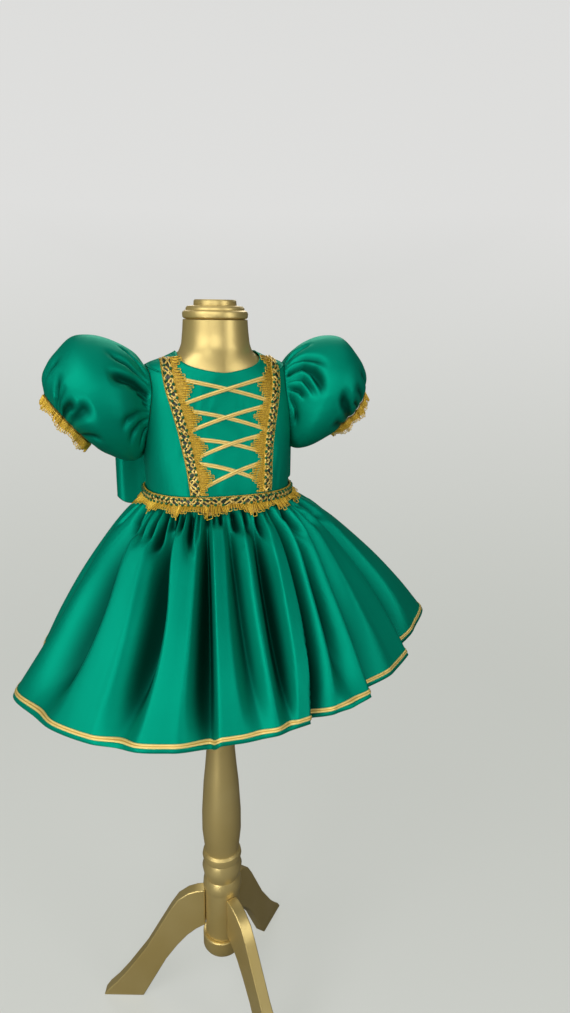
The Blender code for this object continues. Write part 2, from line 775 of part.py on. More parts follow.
def build_lace_strip(name, hand):
    low = STRIP_STATIONS[0][0]
    top = STRIP_STATIONS[-1][0]

    def place(u, v, side):
        z = low + (top - low) * v
        outer_x, width = strip_edges(z)
        x = outer_x - 0.68 * width * (u / 0.5)
        if u > 0.75:
            x = strip_inner_edge(z)
        z += STRIP_TOP_SLANT * (outer_x - x) * smooth_share((v - 0.8) / 0.2)
        height = BODICE_OUT + STRIP_GAP + LACE_WALL * (1.0 - side)
        return front_trim_point(hand * x, z, height)

    cloth_sheet("lace_strip_" + name, 2, STRIP_ROWS, place, LACE)


def lacing_end(z):
    """How far from the middle of the trim a lacing ribbon ends, clear of the scallops beside it."""
    return min(strip_inner_edge(z + shift) for shift in (-0.0035, 0.0, 0.0035)) - LACING_END_GAP


def build_lacing(name, left_z, right_z, over):
    left_x = -lacing_end(left_z)
    right_x = lacing_end(right_z)

    def place(u, v, side):
        x = left_x + (right_x - left_x) * u
        arch = LACING_ARCH * 4.0 * u * (1.0 - u)
        z = left_z + (right_z - left_z) * u + arch + LACING_WIDTH * (v - 0.5)
        bump = 1.0 - smooth_share((abs(u - 0.5) - 0.14) / 0.22)
        height = BODICE_OUT + REST_GAP + RIBBON_WALL * (1.0 - side)
        height += over * bump * (RIBBON_WALL + REST_GAP + 0.0004)
        return front_trim_point(x, z, height)

    cloth_sheet(name, LACING_COLUMNS, 1, place, RIBBON)


# Bow at the centre back

def bow_loop_path(share, half_width):
    """Plan of a loop: out along the far side, round the fold and back along the near side."""
    start_x = 0.0015
    run = half_width - BOW_FOLD_RADIUS
    if 0.44 <= share <= 0.56:
        swing = math.pi * (0.5 - (share - 0.44) / 0.12)
        middle = (BOW_LOOP_DEPTH_FAR - BOW_LOOP_DEPTH_NEAR) / 2.0
        half_depth = (BOW_LOOP_DEPTH_FAR + BOW_LOOP_DEPTH_NEAR) / 2.0
        return run + BOW_FOLD_RADIUS * math.cos(swing), middle + half_depth * math.sin(swing)
    part = min(share, 1.0 - share) / 0.44
    full = BOW_LOOP_DEPTH_FAR if share < 0.5 else BOW_LOOP_DEPTH_NEAR
    depth = BOW_PINCH_HALF_DEPTH + (full - BOW_PINCH_HALF_DEPTH) * math.sin(math.pi * 0.5 * part)
    return start_x + (run - start_x) * part, depth if share < 0.5 else -depth


def bow_half_height(x, half_width, end_half_height):
    grown = min(1.0, max(0.0, (x - 0.020) / (half_width - 0.040)))
    height = BOW_PINCH_HALF_HEIGHT + (end_half_height - BOW_PINCH_HALF_HEIGHT) * grown ** 1.5
    corner = max(0.0, x - (half_width - 0.018)) / 0.018
    return height * (1.0 - 0.14 * corner * corner)


def build_bow_loop(name, hand, half_width, middle_z, end_half_height):
    def surface(share, up):
        x, depth = bow_loop_path(share, half_width)
        away = smooth_share((x - 0.015) / 0.08)
        z = BOW_Z + (middle_z - BOW_Z) * away + bow_half_height(x, half_width, end_half_height) * up
        pleat = BOW_PLEAT * math.cos(3.0 * math.pi * up) * smooth_share((x - 0.018) / 0.02)
        pleat *= 1.0 - smooth_share((x - 0.045) / 0.05)
        lean = BOW_LEAN * (z - BOW_Z) * (1.0 - away)
        return Vector((hand * x, BOW_Y + lean + BOW_SWING_BACK * away + depth + pleat, z))

    def place(u, v, side):
        share = 0.004 + 0.992 * u
        up = 2.0 * v - 1.0
        step_along = surface(share + 0.002, up) - surface(share - 0.002, up)
        step_up = surface(share, up + 0.01) - surface(share, up - 0.01)
        normal = step_along.cross(step_up).normalized() * hand
        return surface(share, up) + normal * (CLOTH_WALL * side)

    cloth_sheet(name, 14, 4, place, SATIN)


def build_bow_knot():
    def place(u, v, side):
        turn = 2.0 * math.pi * u
        waist = 1.0 - KNOT_WAIST * math.cos(2.0 * math.pi * (v - 0.5))
        half_height = KNOT_HALF_HEIGHT * waist - side * CLOTH_WALL
        half_depth = KNOT_HALF_DEPTH - side * CLOTH_WALL
        y = half_depth * signed_power(math.cos(turn), 0.6)
        z = half_height * signed_power(math.sin(turn), 0.6)
        x = KNOT_HALF_WIDTH * (2.0 * v - 1.0)
        return Vector((x, BOW_Y + BOW_LEAN * z + y, BOW_Z + z))

    cloth_sheet("bow_knot", 16, 2, place, SATIN, closed=True)


def main():
    clear_scene()
    make_axis()
    build_form()
    build_stand()
    build_bodice()
    build_sleeve("left", -1.0)
    build_sleeve("right", 1.0)
    build_skirt_panel("skirt_front", -math.pi / 2.0, math.pi / 2.0)
    build_skirt_panel("skirt_back", math.pi / 2.0, 1.5 * math.pi)
    build_hem_ribbon()
    build_waist_lace()
    build_lace_strip("left", -1.0)
    build_lace_strip("right", 1.0)
    for name, left_z, right_z, over in LACING_RIBBONS:
        build_lacing(name, left_z, right_z, over)
    for row in BOW_LOOPS:
        build_bow_loop(*row)
    build_bow_knot()


main()
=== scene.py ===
"""Looks of a child's princess dress on a limbless dress form: satin, lace, ribbon and paint.

Metres, +Z up, the front of the dress faces -Y. Shapes are worked out round the axis of the stand and then
moved to it, as the solids are. "Left" and "right" are as seen from the front: left is -X.
"""
import math
import bpy
import bmesh
import numpy as np
from mathutils import Matrix, Vector


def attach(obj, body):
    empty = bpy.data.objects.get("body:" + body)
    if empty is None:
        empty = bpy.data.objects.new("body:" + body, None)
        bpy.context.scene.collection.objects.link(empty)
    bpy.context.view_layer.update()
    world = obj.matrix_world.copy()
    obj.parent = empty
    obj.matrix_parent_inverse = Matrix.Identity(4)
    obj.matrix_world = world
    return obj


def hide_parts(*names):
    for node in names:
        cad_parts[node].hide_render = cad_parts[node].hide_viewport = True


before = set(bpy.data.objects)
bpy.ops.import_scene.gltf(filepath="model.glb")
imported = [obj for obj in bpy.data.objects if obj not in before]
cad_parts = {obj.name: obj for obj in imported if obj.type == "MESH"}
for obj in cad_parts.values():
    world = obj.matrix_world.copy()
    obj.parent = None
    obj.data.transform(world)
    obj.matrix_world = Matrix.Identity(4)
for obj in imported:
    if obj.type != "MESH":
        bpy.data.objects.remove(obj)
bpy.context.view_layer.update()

# The stand's axis, measured from the origin
STAND = np.array((-0.0090, -0.0029, 0.0))

# Cloth
SATIN_WALL = 0.0006
CLOTH_WALL = 0.0015
CLOTH_TO_FORM = 0.0014
BODICE_OUT = CLOTH_TO_FORM + CLOTH_WALL
SEAM_GAP = 0.0002

# Heights of the dress
WAIST_Z = 0.836
NECK_FRONT_Z = 0.989
NECK_BACK_Z = 1.001
NECK_SIDE_Z = 1.009
SHOULDER_TIP_Z = 0.9945
UNDERARM_Z = 0.8935
SIDE_SHARE = 0.30
ARMHOLE_SHARE = 0.88

# Armhole, an ellipse in the side view
ARMHOLE_Z = 0.944
ARMHOLE_HALF_HEIGHT = 0.049
ARMHOLE_HALF_DEPTH = 0.026
ARMHOLE_CLEARANCE = 0.0003

FORM_STATIONS = (
    # z, half_width, front, back, power
    (0.620, 0.062, 0.050, 0.044, 2.0),
    (0.626, 0.076, 0.060, 0.054, 2.1),
    (0.642, 0.087, 0.067, 0.063, 2.2),
    (0.680, 0.091, 0.069, 0.068, 2.3),
    (0.730, 0.091, 0.071, 0.068, 2.4),
    (0.785, 0.088, 0.073, 0.060, 2.4),
    (0.836, 0.0860, 0.0725, 0.053, 2.4),
    (0.868, 0.0870, 0.0680, 0.055, 2.5),
    (0.900, 0.0885, 0.0570, 0.060, 2.7),
    (0.930, 0.0885, 0.0500, 0.061, 2.9),
    (0.950, 0.0880, 0.0465, 0.059, 2.8),
    (0.970, 0.0875, 0.0440, 0.054, 2.3),
    (0.985, 0.0880, 0.0430, 0.046, 1.75),
    (0.994, 0.0830, 0.0425, 0.043, 1.5),
    (1.002, 0.0615, 0.0425, 0.0425, 1.6),
    (1.009, 0.0470, 0.0425, 0.0425, 1.85),
    (1.016, 0.0425, 0.0425, 0.0425, 2.0),
    (1.030, 0.0400, 0.0400, 0.0400, 2.0),
    (1.0478, 0.0385, 0.0385, 0.0385, 2.0),
)

# Puff sleeve rings from armhole to cuff: the top and the low point of each ring and its half depth
SLEEVE_RINGS = (
    # along, top_x, top_z, low_x, low_z, half_depth
    (0.00, 0.0880, 0.9930, 0.0900, 0.8950, 0.0260),
    (0.10, 0.0970, 1.0070, 0.0930, 0.8890, 0.0340),
    (0.21, 0.1090, 1.0170, 0.0970, 0.8855, 0.0450),
    (0.34, 0.1290, 1.0260, 0.1040, 0.8830, 0.0560),
    (0.48, 0.1500, 1.0300, 0.1130, 0.8835, 0.0620),
    (0.61, 0.1690, 1.0275, 0.1220, 0.8860, 0.0640),
    (0.74, 0.1850, 1.0140, 0.1320, 0.8910, 0.0630),
    (0.86, 0.1985, 0.9970, 0.1410, 0.8960, 0.0560),
    (0.94, 0.2050, 0.9810, 0.1480, 0.9010, 0.0470),
    (1.00, 0.2040, 0.9640, 0.1540, 0.9070, 0.0385),
)
SLEEVE_GATHERS = 11
SLEEVE_TURN_SIZE = 0.00115
SLEEVE_ALONG_SIZE = 0.17

# Creases of the sleeves: where each runs, as degrees round from the top and the share along from the armhole
SLEEVE_CREASES = {
    "left": (
        # path, depth, half_width_start, half_width_end
        (((322, 0.05), (332, 0.15), (340, 0.21), (342, 0.30)), 0.0040, 0.0025, 0.004),
        (((307, 0.04), (312, 0.17), (317, 0.24), (319, 0.32), (324, 0.42)), 0.0060, 0.0030, 0.005),
        (((292, 0.03), (297, 0.18), (297, 0.32), (297, 0.46)), 0.0100, 0.0035, 0.007),
        (((287, 0.03), (292, 0.14), (289, 0.30)), 0.0050, 0.0025, 0.004),
        (((281, 0.03), (285, 0.13), (287, 0.20)), 0.0050, 0.0022, 0.003),
        (((274, 0.03), (278, 0.12)), 0.0040, 0.0022, 0.003),
        (((268, 0.03), (265, 0.21), (258, 0.35), (246, 0.48)), 0.0045, 0.0025, 0.005),
        (((259, 0.03), (253, 0.19), (244, 0.31), (229, 0.42)), 0.0050, 0.0030, 0.005),
        (((246, 0.03), (237, 0.13), (221, 0.25)), 0.0050, 0.0030, 0.005),
        (((300, 1.02), (303, 0.92), (310, 0.87), (320, 0.80)), 0.0060, 0.0040, 0.005),
        (((292, 1.02), (297, 0.91), (304, 0.80)), 0.0040, 0.0030, 0.004),
        (((283, 1.02), (284, 0.92), (283, 0.80)), 0.0070, 0.0050, 0.007),
        (((264, 1.02), (270, 0.83), (275, 0.66)), 0.0060, 0.0060, 0.011),
        (((340, 1.02), (338, 0.86), (335, 0.72)), 0.0045, 0.0040, 0.007),
        (((240, 1.02), (240, 0.86), (236, 0.70)), 0.0045, 0.0040, 0.007),
    ),
    "right": (
        (((332, 0.04), (325, 0.20), (315, 0.30), (300, 0.42)), 0.0050, 0.0030, 0.005),
        (((319, 0.03), (314, 0.18), (303, 0.27), (288, 0.34), (268, 0.42)), 0.0110, 0.0040, 0.007),
        (((306, 0.03), (298, 0.17), (286, 0.24), (268, 0.34)), 0.0060, 0.0028, 0.004),
        (((296, 0.03), (285, 0.14), (270, 0.22)), 0.0060, 0.0028, 0.004),
        (((284, 0.03), (265, 0.10), (235, 0.15)), 0.0060, 0.0035, 0.006),
        (((350, 0.03), (346, 0.20), (344, 0.32)), 0.0035, 0.0030, 0.005),
        (((250, 1.02), (255, 0.86), (265, 0.70), (278, 0.55)), 0.0080, 0.0070, 0.010),
        (((273, 1.02), (273, 0.90), (272, 0.80)), 0.0060, 0.0030, 0.004),
        (((292, 1.02), (290, 0.88), (288, 0.74)), 0.0040, 0.0040, 0.007),
        (((315, 1.02), (314, 0.88), (310, 0.76)), 0.0045, 0.0040, 0.007),
        (((230, 1.02), (236, 0.80), (244, 0.62)), 0.0050, 0.0050, 0.008),
    ),
    "behind": (
        (((38, 0.03), (30, 0.18), (24, 0.34)), 0.0050, 0.0030, 0.006),
        (((53, 0.03), (48, 0.18), (46, 0.40)), 0.0080, 0.0035, 0.007),
        (((66, 0.03), (68, 0.16), (66, 0.30)), 0.0050, 0.0028, 0.005),
        (((80, 0.03), (84, 0.16), (92, 0.36)), 0.0070, 0.0030, 0.006),
        (((95, 0.03), (102, 0.16), (112, 0.28)), 0.0050, 0.0028, 0.005),
        (((112, 0.03), (120, 0.14), (134, 0.30)), 0.0060, 0.0030, 0.006),
        (((40, 1.02), (42, 0.88), (46, 0.70)), 0.0050, 0.0040, 0.008),
        (((70, 1.02), (68, 0.90), (62, 0.78)), 0.0050, 0.0035, 0.006),
        (((98, 1.02), (95, 0.86), (88, 0.66)), 0.0060, 0.0050, 0.009),
        (((125, 1.02), (122, 0.88), (120, 0.74)), 0.0045, 0.0040, 0.007),
    ),
}
LEFT_SLEEVE_REACH = 0.96
RIGHT_SLEEVE_REACH = 0.90
RIGHT_SLEEVE_LIFT = 0.005
CUFF_LACE_TILT_TOP = math.radians(66.0)
CUFF_LACE_TILT_LOW = math.radians(42.0)

# Skirt
SKIRT_TOP_Z = WAIST_Z + 0.001
SKIRT_SLOPE_LENGTH = 0.272
SKIRT_CHORD = 0.270
SKIRT_CHORD_LESS_RIGHT = 0.020
HEM_STEP_DEG = -14.6
HEM_STEP = 0.004

SKIRT_PROFILE = (
    # along, outward, downward
    (0.00, 0.00, 0.00),
    (0.10, 0.12, 0.08),
    (0.25, 0.28, 0.21),
    (0.50, 0.545, 0.465),
    (0.75, 0.785, 0.735),
    (1.00, 1.00, 1.00),
)

HEM_RADII = (
    # angle_deg, mean_radius
    (-220.0, 0.249),
    (-180.0, 0.249),
    (-135.0, 0.246),
    (-95.0, 0.240),
    (-67.0, 0.262),
    (-40.0, 0.258),
    (-10.0, 0.251),
    (20.0, 0.244),
    (50.0, 0.244),
    (75.0, 0.275),
    (105.0, 0.252),
    (140.0, 0.249),
    (180.0, 0.249),
    (225.0, 0.246),
)

# Ridges and valleys of the skirt, round the body from the wearer's right: a row for each
SKIRT_FOLDS = (
    # top_deg, middle_deg, hem_deg, rise_top, rise_middle, rise_hem, lean
    (-106.0, -98.0, -96.0, -0.006, -0.015, -0.017, 0.000),
    (-88.0, -76.0, -73.0, 0.005, 0.008, 0.014, -0.001),
    (-68.0, -58.0, -62.0, -0.009, -0.020, 0.006, 0.000),
    (-58.5, -51.5, -53.0, 0.006, 0.009, 0.011, -0.003),
    (-50.0, -44.0, -43.0, 0.002, 0.006, 0.010, 0.000),
    (-38.0, -33.5, -37.0, -0.010, -0.023, 0.003, 0.000),
    (-32.5, -28.8, -31.0, 0.006, 0.007, 0.009, -0.002),
    (-21.0, -21.5, -24.0, 0.003, 0.004, 0.003, 0.000),
    (-16.0, -15.6, -15.6, -0.011, -0.025, -0.012, 0.000),
    (-12.3, -12.6, -12.7, 0.006, 0.008, -0.001, -0.002),
    (-7.5, -9.0, -8.5, 0.004, 0.005, -0.003, 0.000),
    (-3.5, -4.0, -3.0, -0.008, -0.012, -0.005, 0.000),
    (2.0, 0.6, 1.0, 0.004, 0.005, -0.001, 0.000),
    (9.5, 7.5, 5.0, -0.009, -0.019, -0.006, 0.000),
    (15.0, 11.5, 7.4, 0.005, 0.007, -0.005, -0.001),
    (19.0, 15.6, 9.6, 0.004, 0.006, -0.005, 0.003),
    (24.0, 18.0, 11.2, -0.011, -0.024, -0.028, 0.000),
    (29.0, 23.5, 18.5, 0.005, 0.005, -0.004, 0.000),
    (33.5, 28.5, 24.0, -0.008, -0.015, 0.004, 0.000),
    (41.0, 34.5, 29.6, 0.005, 0.005, 0.009, 0.001),
    (45.5, 39.0, 32.2, -0.006, -0.010, -0.017, 0.000),
    (51.0, 47.0, 45.0, 0.004, 0.006, 0.005, 0.000),
    (56.5, 55.6, 54.0, 0.005, 0.010, 0.008, 0.003),
    (61.0, 59.0, 57.5, -0.010, -0.020, -0.020, 0.000),
    (68.0, 66.5, 66.0, 0.004, 0.006, -0.007, 0.000),
    (76.0, 75.0, 74.5, 0.004, 0.007, 0.003, 0.001),
    (84.0, 83.0, 82.0, -0.007, -0.014, -0.012, 0.000),
    (92.0, 90.0, 88.0, 0.005, 0.008, 0.004, 0.000),
    (100.0, 102.0, 104.0, 0.002, 0.005, 0.006, 0.000),
    (109.0, 110.0, 112.0, -0.009, -0.020, -0.016, 0.000),
    (114.0, 115.0, 117.0, 0.006, 0.008, 0.006, 0.002),
    (128.0, 128.0, 127.0, 0.002, 0.004, 0.008, 0.000),
    (136.0, 137.0, 138.0, -0.008, -0.018, -0.008, 0.000),
    (141.0, 142.0, 144.0, 0.006, 0.009, 0.005, 0.000),
    (152.0, 151.0, 150.0, -0.004, -0.006, -0.001, 0.000),
    (158.0, 158.0, 158.0, 0.004, 0.006, 0.005, 0.000),
    (168.0, 169.0, 170.0, -0.009, -0.021, -0.015, 0.000),
    (173.0, 174.0, 176.0, 0.006, 0.009, 0.004, 0.002),
    (186.0, 185.0, 184.0, 0.003, 0.005, 0.008, 0.000),
    (193.0, 194.0, 195.0, -0.008, -0.017, -0.006, 0.000),
    (198.0, 199.0, 200.0, 0.006, 0.008, 0.004, 0.000),
    (209.0, 208.0, 207.0, -0.004, -0.007, -0.002, 0.000),
    (214.0, 214.0, 214.0, 0.005, 0.007, 0.006, 0.000),
    (224.0, 225.0, 226.0, -0.009, -0.020, -0.014, 0.000),
    (229.0, 231.0, 233.0, 0.006, 0.008, 0.004, -0.002),
    (240.0, 247.0, 250.0, 0.004, 0.006, 0.003, 0.000),
)
FOLD_TOP = 0.15
FOLD_MIDDLE = 0.5
FOLD_KNEE = 0.78
FOLD_DEPTH = 1.7
GATHER_DEPTH = 2.1

# Short gathers under the waist seam: grooves that widen and end
WAIST_GATHERS = (
    # top_deg, end_deg, length, depth, half_width_deg
    (-80.0, -72.0, 0.22, 0.0035, 1.9),
    (-61.5, -54.0, 0.26, 0.0050, 1.8),
    (-54.0, -49.0, 0.24, 0.0045, 1.6),
    (-47.5, -44.0, 0.32, 0.0050, 2.0),
    (-43.0, -41.0, 0.16, 0.0035, 1.4),
    (-34.0, -33.0, 0.12, 0.0040, 1.5),
    (-28.0, -23.0, 0.31, 0.0060, 1.9),
    (-21.0, -21.0, 0.24, 0.0030, 1.1),
    (-11.0, -11.5, 0.13, 0.0040, 1.3),
    (-7.0, -7.5, 0.12, 0.0030, 1.1),
    (-0.5, 1.0, 0.17, 0.0045, 1.5),
    (5.5, 4.0, 0.20, 0.0035, 1.3),
    (14.0, 12.0, 0.16, 0.0035, 1.3),
    (19.5, 18.0, 0.14, 0.0030, 1.2),
    (32.0, 29.5, 0.14, 0.0035, 1.4),
    (40.0, 36.0, 0.17, 0.0040, 1.5),
    (50.0, 46.5, 0.20, 0.0035, 1.6),
    (57.0, 55.0, 0.12, 0.0030, 1.5),
    (69.0, 66.0, 0.20, 0.0040, 1.8),
)
HIDDEN_GATHERS = 27
FRONT_GATHERS = 21
HIDDEN_GATHERS_FROM_DEG = 77.0
HIDDEN_GATHERS_TO_DEG = 274.0

# Hem ribbon
HEM_RIBBON_LOW = 0.0045
HEM_RIBBON_WIDTH = 0.0048

# Lace
LACE_TIP = 0.0140
TRIM_SHIFT = 0.0018
STRIP_STATIONS = (
    # z, outer_x, width_at_notch
    (0.8505, 0.0500, 0.0165),
    (0.8870, 0.0543, 0.0160),
    (0.9200, 0.0600, 0.0165),
    (0.9450, 0.0655, 0.0175),
    (0.9700, 0.0710, 0.0180),
    (0.9995, 0.0735, 0.0170),
)
STRIP_TOP_NOTCH_Z = 0.9895
STRIP_PITCH = 0.0336
STRIP_TOP_SLANT = 0.22
WAIST_SCALLOPS = 14
WAIST_BRAID_TOP_Z = 0.8490
CUFF_SCALLOPS = 7

# Ribbon lacing: each ribbon runs from a height beside the left strip to a height beside the right strip
LACING_WIDTH = 0.0047
LACING_ARCH = 0.0025
LACING_RIBBONS = (
    # name, left_z, right_z, over
    ("lacing_1_under", 0.9800, 0.9550, 0.0),
    ("lacing_1_over", 0.9540, 0.9810, 1.0),
    ("lacing_2_under", 0.9455, 0.9220, 0.0),
    ("lacing_2_over", 0.9230, 0.9485, 1.0),
    ("lacing_3_under", 0.9135, 0.8975, 0.0),
    ("lacing_3_over", 0.8935, 0.9150, 1.0),
    ("lacing_4_under", 0.8862, 0.8665, 0.0),
    ("lacing_4_over", 0.8600, 0.8828, 1.0),
)

# Bow
BOW_LOOPS = (
    # name, hand, half_width, middle_z, end_half_height
    ("bow_loop_left", -1.0, 0.118, 0.868, 0.060),
    ("bow_loop_right", 1.0, 0.127, 0.872, 0.046),
)
BOW_Z = 0.868
BOW_Y = 0.0665
BOW_LEAN = 0.11
BOW_SWING_BACK = 0.0150
BOW_PINCH_HALF_HEIGHT = 0.0165
BOW_PINCH_HALF_DEPTH = 0.0031
BOW_FOLD_RADIUS = 0.010
BOW_LOOP_DEPTH_FAR = 0.0130
BOW_LOOP_DEPTH_NEAR = 0.0080
KNOT_HALF_WIDTH = 0.011
KNOT_HALF_HEIGHT = 0.0225
KNOT_HALF_DEPTH = 0.0075
KNOT_WAIST = 0.06

# Turned pieces of the stand
CAP_PROFILE = (
    # radius, z
    (0.0240, 1.0705),
    (0.0252, 1.0690),
    (0.0256, 1.0640),
    (0.0330, 1.0630),
    (0.0347, 1.0610),
    (0.0350, 1.0588),
    (0.0382, 1.0570),
    (0.0392, 1.0545),
    (0.0388, 1.0505),
    (0.0370, 1.0487),
    (0.0350, 1.0481),
)
COLUMN_PROFILE = (
    # radius, z
    (0.0300, 0.6196),
    (0.0300, 0.6130),
    (0.0205, 0.6060),
    (0.0200, 0.4600),
    (0.0225, 0.4300),
    (0.0255, 0.4000),
    (0.0284, 0.3520),
    (0.0285, 0.3200),
    (0.0262, 0.2970),
    (0.0246, 0.2840),
    (0.0280, 0.2810),
    (0.0290, 0.2755),
    (0.0280, 0.2700),
    (0.0252, 0.2680),
    (0.0295, 0.2560),
    (0.0275, 0.2440),
    (0.0252, 0.2370),
    (0.0282, 0.2300),
    (0.0288, 0.2210),
    (0.0280, 0.2170),
    (0.0259, 0.2150),
    (0.0259, 0.1320),
)
BASE_PROFILE = (
    # radius, z
    (0.0290, 0.1316),
    (0.0302, 0.1300),
    (0.0302, 0.1090),
    (0.0280, 0.1050),
)
TURNED_SEGMENTS = 96
LEG_EDGE_BEVEL = 0.0016

# Camera, fitted to the photo
CAMERA_PLACE = (-0.2007, -0.8333, 1.0608)
CAMERA_TURN_DEG = -18.836
CAMERA_PITCH_DEG = 16.04
CAMERA_ROLL_DEG = 0.888
CAMERA_LENS_MM = 24.38

# Stage and lights
STAGE_FLOOR_RADIUS = 1.2
STAGE_BEND = 1.5
STAGE_HEIGHT = 3.6
# Painted light on the paper: paler for the camera than for light bouncing off it, and a glow that the camera
# sees, paler higher up the wall
STAGE_PALE = (0.20, 0.20, 0.195, 1.0)
STAGE_DIM = (0.10, 0.10, 0.095, 1.0)
STAGE_GLOW_LOW = (0.44, 0.455, 0.42, 1.0)
STAGE_GLOW_HIGH = (0.66, 0.66, 0.65, 1.0)
STAGE_GLOW_TOP = 1.5
STAGE_GLOW_DIM = (0.015, 0.015, 0.015, 1.0)
ROOM_STRENGTH = 0.12
LIGHTS = (
    # name, place, target, size, power
    ("key", (-1.70, -1.00, 2.15), (0.0, 0.0, 0.75), (1.5, 2.0), 33.0),
    ("fill", (1.25, -1.60, 1.35), (0.0, 0.0, 0.80), (0.7, 1.4), 12.0),
    ("front", (-0.50, -2.00, 1.90), (0.0, 0.0, 0.75), (1.2, 1.2), 15.0),
    ("back", (0.60, 1.80, 2.20), (0.0, 0.0, 0.80), (1.6, 1.2), 18.0),
    ("low", (-1.20, -1.30, 0.45), (0.0, 0.0, 0.22), (0.7, 0.7), 11.0),
    ("top", (0.0, 0.0, 2.90), (0.0, 0.0, 0.60), (2.0, 2.0), 7.0),
)


# Reading tables

def reading(rows, key, column):
    """A smooth curve through one column of a table whose first column rises."""
    places = np.array([row[0] for row in rows])
    values = np.array([row[column] for row in rows])
    slopes = np.gradient(values, places)
    index = np.clip(np.searchsorted(places, key) - 1, 0, len(places) - 2)
    step = places[index + 1] - places[index]
    share = np.clip((key - places[index]) / step, 0.0, 1.0)
    square = share * share
    cube = square * share
    return (
        (2.0 * cube - 3.0 * square + 1.0) * values[index]
        + (cube - 2.0 * square + share) * step * slopes[index]
        + (3.0 * square - 2.0 * cube) * values[index + 1]
        + (cube - square) * step * slopes[index + 1]
    )


def smooth_share(share):
    share = np.clip(share, 0.0, 1.0)
    return share * share * (3.0 - 2.0 * share)


def signed_power(value, power):
    return np.sign(value) * np.abs(value) ** power


def stacked(x, y, z):
    return np.stack(np.broadcast_arrays(x, y, z), axis=-1).astype(float)


def unit(vectors):
    return vectors / np.maximum(np.linalg.norm(vectors, axis=-1, keepdims=True), 1e-12)


def raised(surface, across, up, height, across_step=0.004, up_step=0.0006):
    """Points of a surface moved out along its normal."""
    here = surface(across, up)
    step_across = surface(across + across_step, up) - surface(across - across_step, up)
    step_up = surface(across, up + up_step) - surface(across, up - up_step)
    normal = unit(np.cross(step_across, step_up))
    return here + normal * np.asarray(height, float)[..., None]


# Making objects

def smooth_mesh(bm, name):
    mesh = bpy.data.meshes.new(name)
    bm.to_mesh(mesh)
    bm.free()
    mesh.shade_smooth()
    return mesh


def add_object(name, mesh, material):
    """Links a finished mesh, which rides on the one body of this part."""
    item = bpy.data.objects.new(name, mesh)
    bpy.context.scene.collection.objects.link(item)
    mesh.materials.clear()
    mesh.materials.append(material)
    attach(item, "root")
    return item


def cloth(name, columns, rows, place, material, closed=False, wall=SATIN_WALL, size=(1.0, 1.0), outward=1.0,
          painted_fold_shade=None):
    """A sheet of cloth: place(u, v) gives its points, and the wall grows inwards from them."""
    bm = bmesh.new()
    bmesh.ops.create_grid(bm, x_segments=columns, y_segments=rows, size=0.5)
    flat = np.array([vert.co[:2] for vert in bm.verts]) + 0.5
    uv_layer = bm.loops.layers.uv.new("cloth")
    for face in bm.faces:
        for loop in face.loops:
            place_in_grid = loop.vert.co
            loop[uv_layer].uv = ((place_in_grid.x + 0.5) * size[0], (place_in_grid.y + 0.5) * size[1])
    # Painted shade: the optional last argument gives an amount for each point, stored for the satin to darken
    # its folds with.
    if painted_fold_shade is not None:
        painted_shade_layer = bm.verts.layers.float.new("painted_shade")
        for vert, depth in zip(bm.verts, painted_fold_shade(flat[:, 0], flat[:, 1]).tolist()):
            vert[painted_shade_layer] = depth
    points = place(flat[:, 0], flat[:, 1]) + STAND
    for vert, point in zip(bm.verts, points.tolist()):
        vert.co = point
    if outward < 0.0:
        bmesh.ops.reverse_faces(bm, faces=bm.faces[:])
    if closed:
        bmesh.ops.remove_doubles(bm, verts=bm.verts[:], dist=0.00001)
    mesh = smooth_mesh(bm, name)
    item = add_object(name, mesh, material)
    if wall > 0.0:
        thicken = item.modifiers.new("wall", "SOLIDIFY")
        thicken.thickness = wall
        thicken.offset = -1.0
        thicken.use_quality_normals = True
    return item


def cords(name, paths, radius, material, smooth_sides=1):
    """Many thin cords as one mesh: each path is a list of points."""
    curve = bpy.data.curves.new(name + "_paths", "CURVE")
    curve.dimensions = "3D"
    curve.bevel_depth = radius
    curve.bevel_resolution = smooth_sides
    curve.use_fill_caps = True
    for path in paths:
        spline = curve.splines.new("POLY")
        spline.points.add(len(path) - 1)
        rows = np.ones((len(path), 4))
        rows[:, :3] = np.asarray(path) + STAND
        spline.points.foreach_set("co", rows.ravel())
    guide = bpy.data.objects.new(name + "_guide", curve)
    bpy.context.scene.collection.objects.link(guide)
    graph = bpy.context.evaluated_depsgraph_get()
    mesh = bpy.data.meshes.new_from_object(guide.evaluated_get(graph))
    bpy.data.objects.remove(guide, do_unlink=True)
    bpy.data.curves.remove(curve)
    mesh.name = name
    mesh.shade_smooth()
    return add_object(name, mesh, material)


def beads(name, centres, radius, material):
    """Small round beads as one mesh."""
    bm = bmesh.new()
    for centre in (np.asarray(centres) + STAND).tolist():
        bmesh.ops.create_icosphere(bm, subdivisions=1, radius=radius, matrix=Matrix.Translation(centre))
    mesh = smooth_mesh(bm, name)
    return add_object(name, mesh, material)


def turned(name, profile, material, replaced):
    """A lathe-turned piece, from a profile spun round the stand's axis."""
    bm = bmesh.new()
    verts = [bm.verts.new((radius, 0.0, z)) for radius, z in profile]
    edges = [bm.edges.new(pair) for pair in zip(verts, verts[1:])]
    bmesh.ops.spin(
        bm, geom=verts + edges, cent=(0.0, 0.0, 0.0), axis=(0.0, 0.0, 1.0),
        angle=2.0 * math.pi, steps=TURNED_SEGMENTS, use_merge=True,
    )
    bmesh.ops.holes_fill(bm, edges=bm.edges[:], sides=TURNED_SEGMENTS + 1)
    bmesh.ops.recalc_face_normals(bm, faces=bm.faces[:])
    bmesh.ops.translate(bm, verts=bm.verts[:], vec=tuple(STAND))
    mesh = smooth_mesh(bm, name)
    mesh.set_sharp_from_angle(angle=math.radians(32.0))
    item = add_object(name, mesh, material)
    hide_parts(replaced)
    return item


# Materials

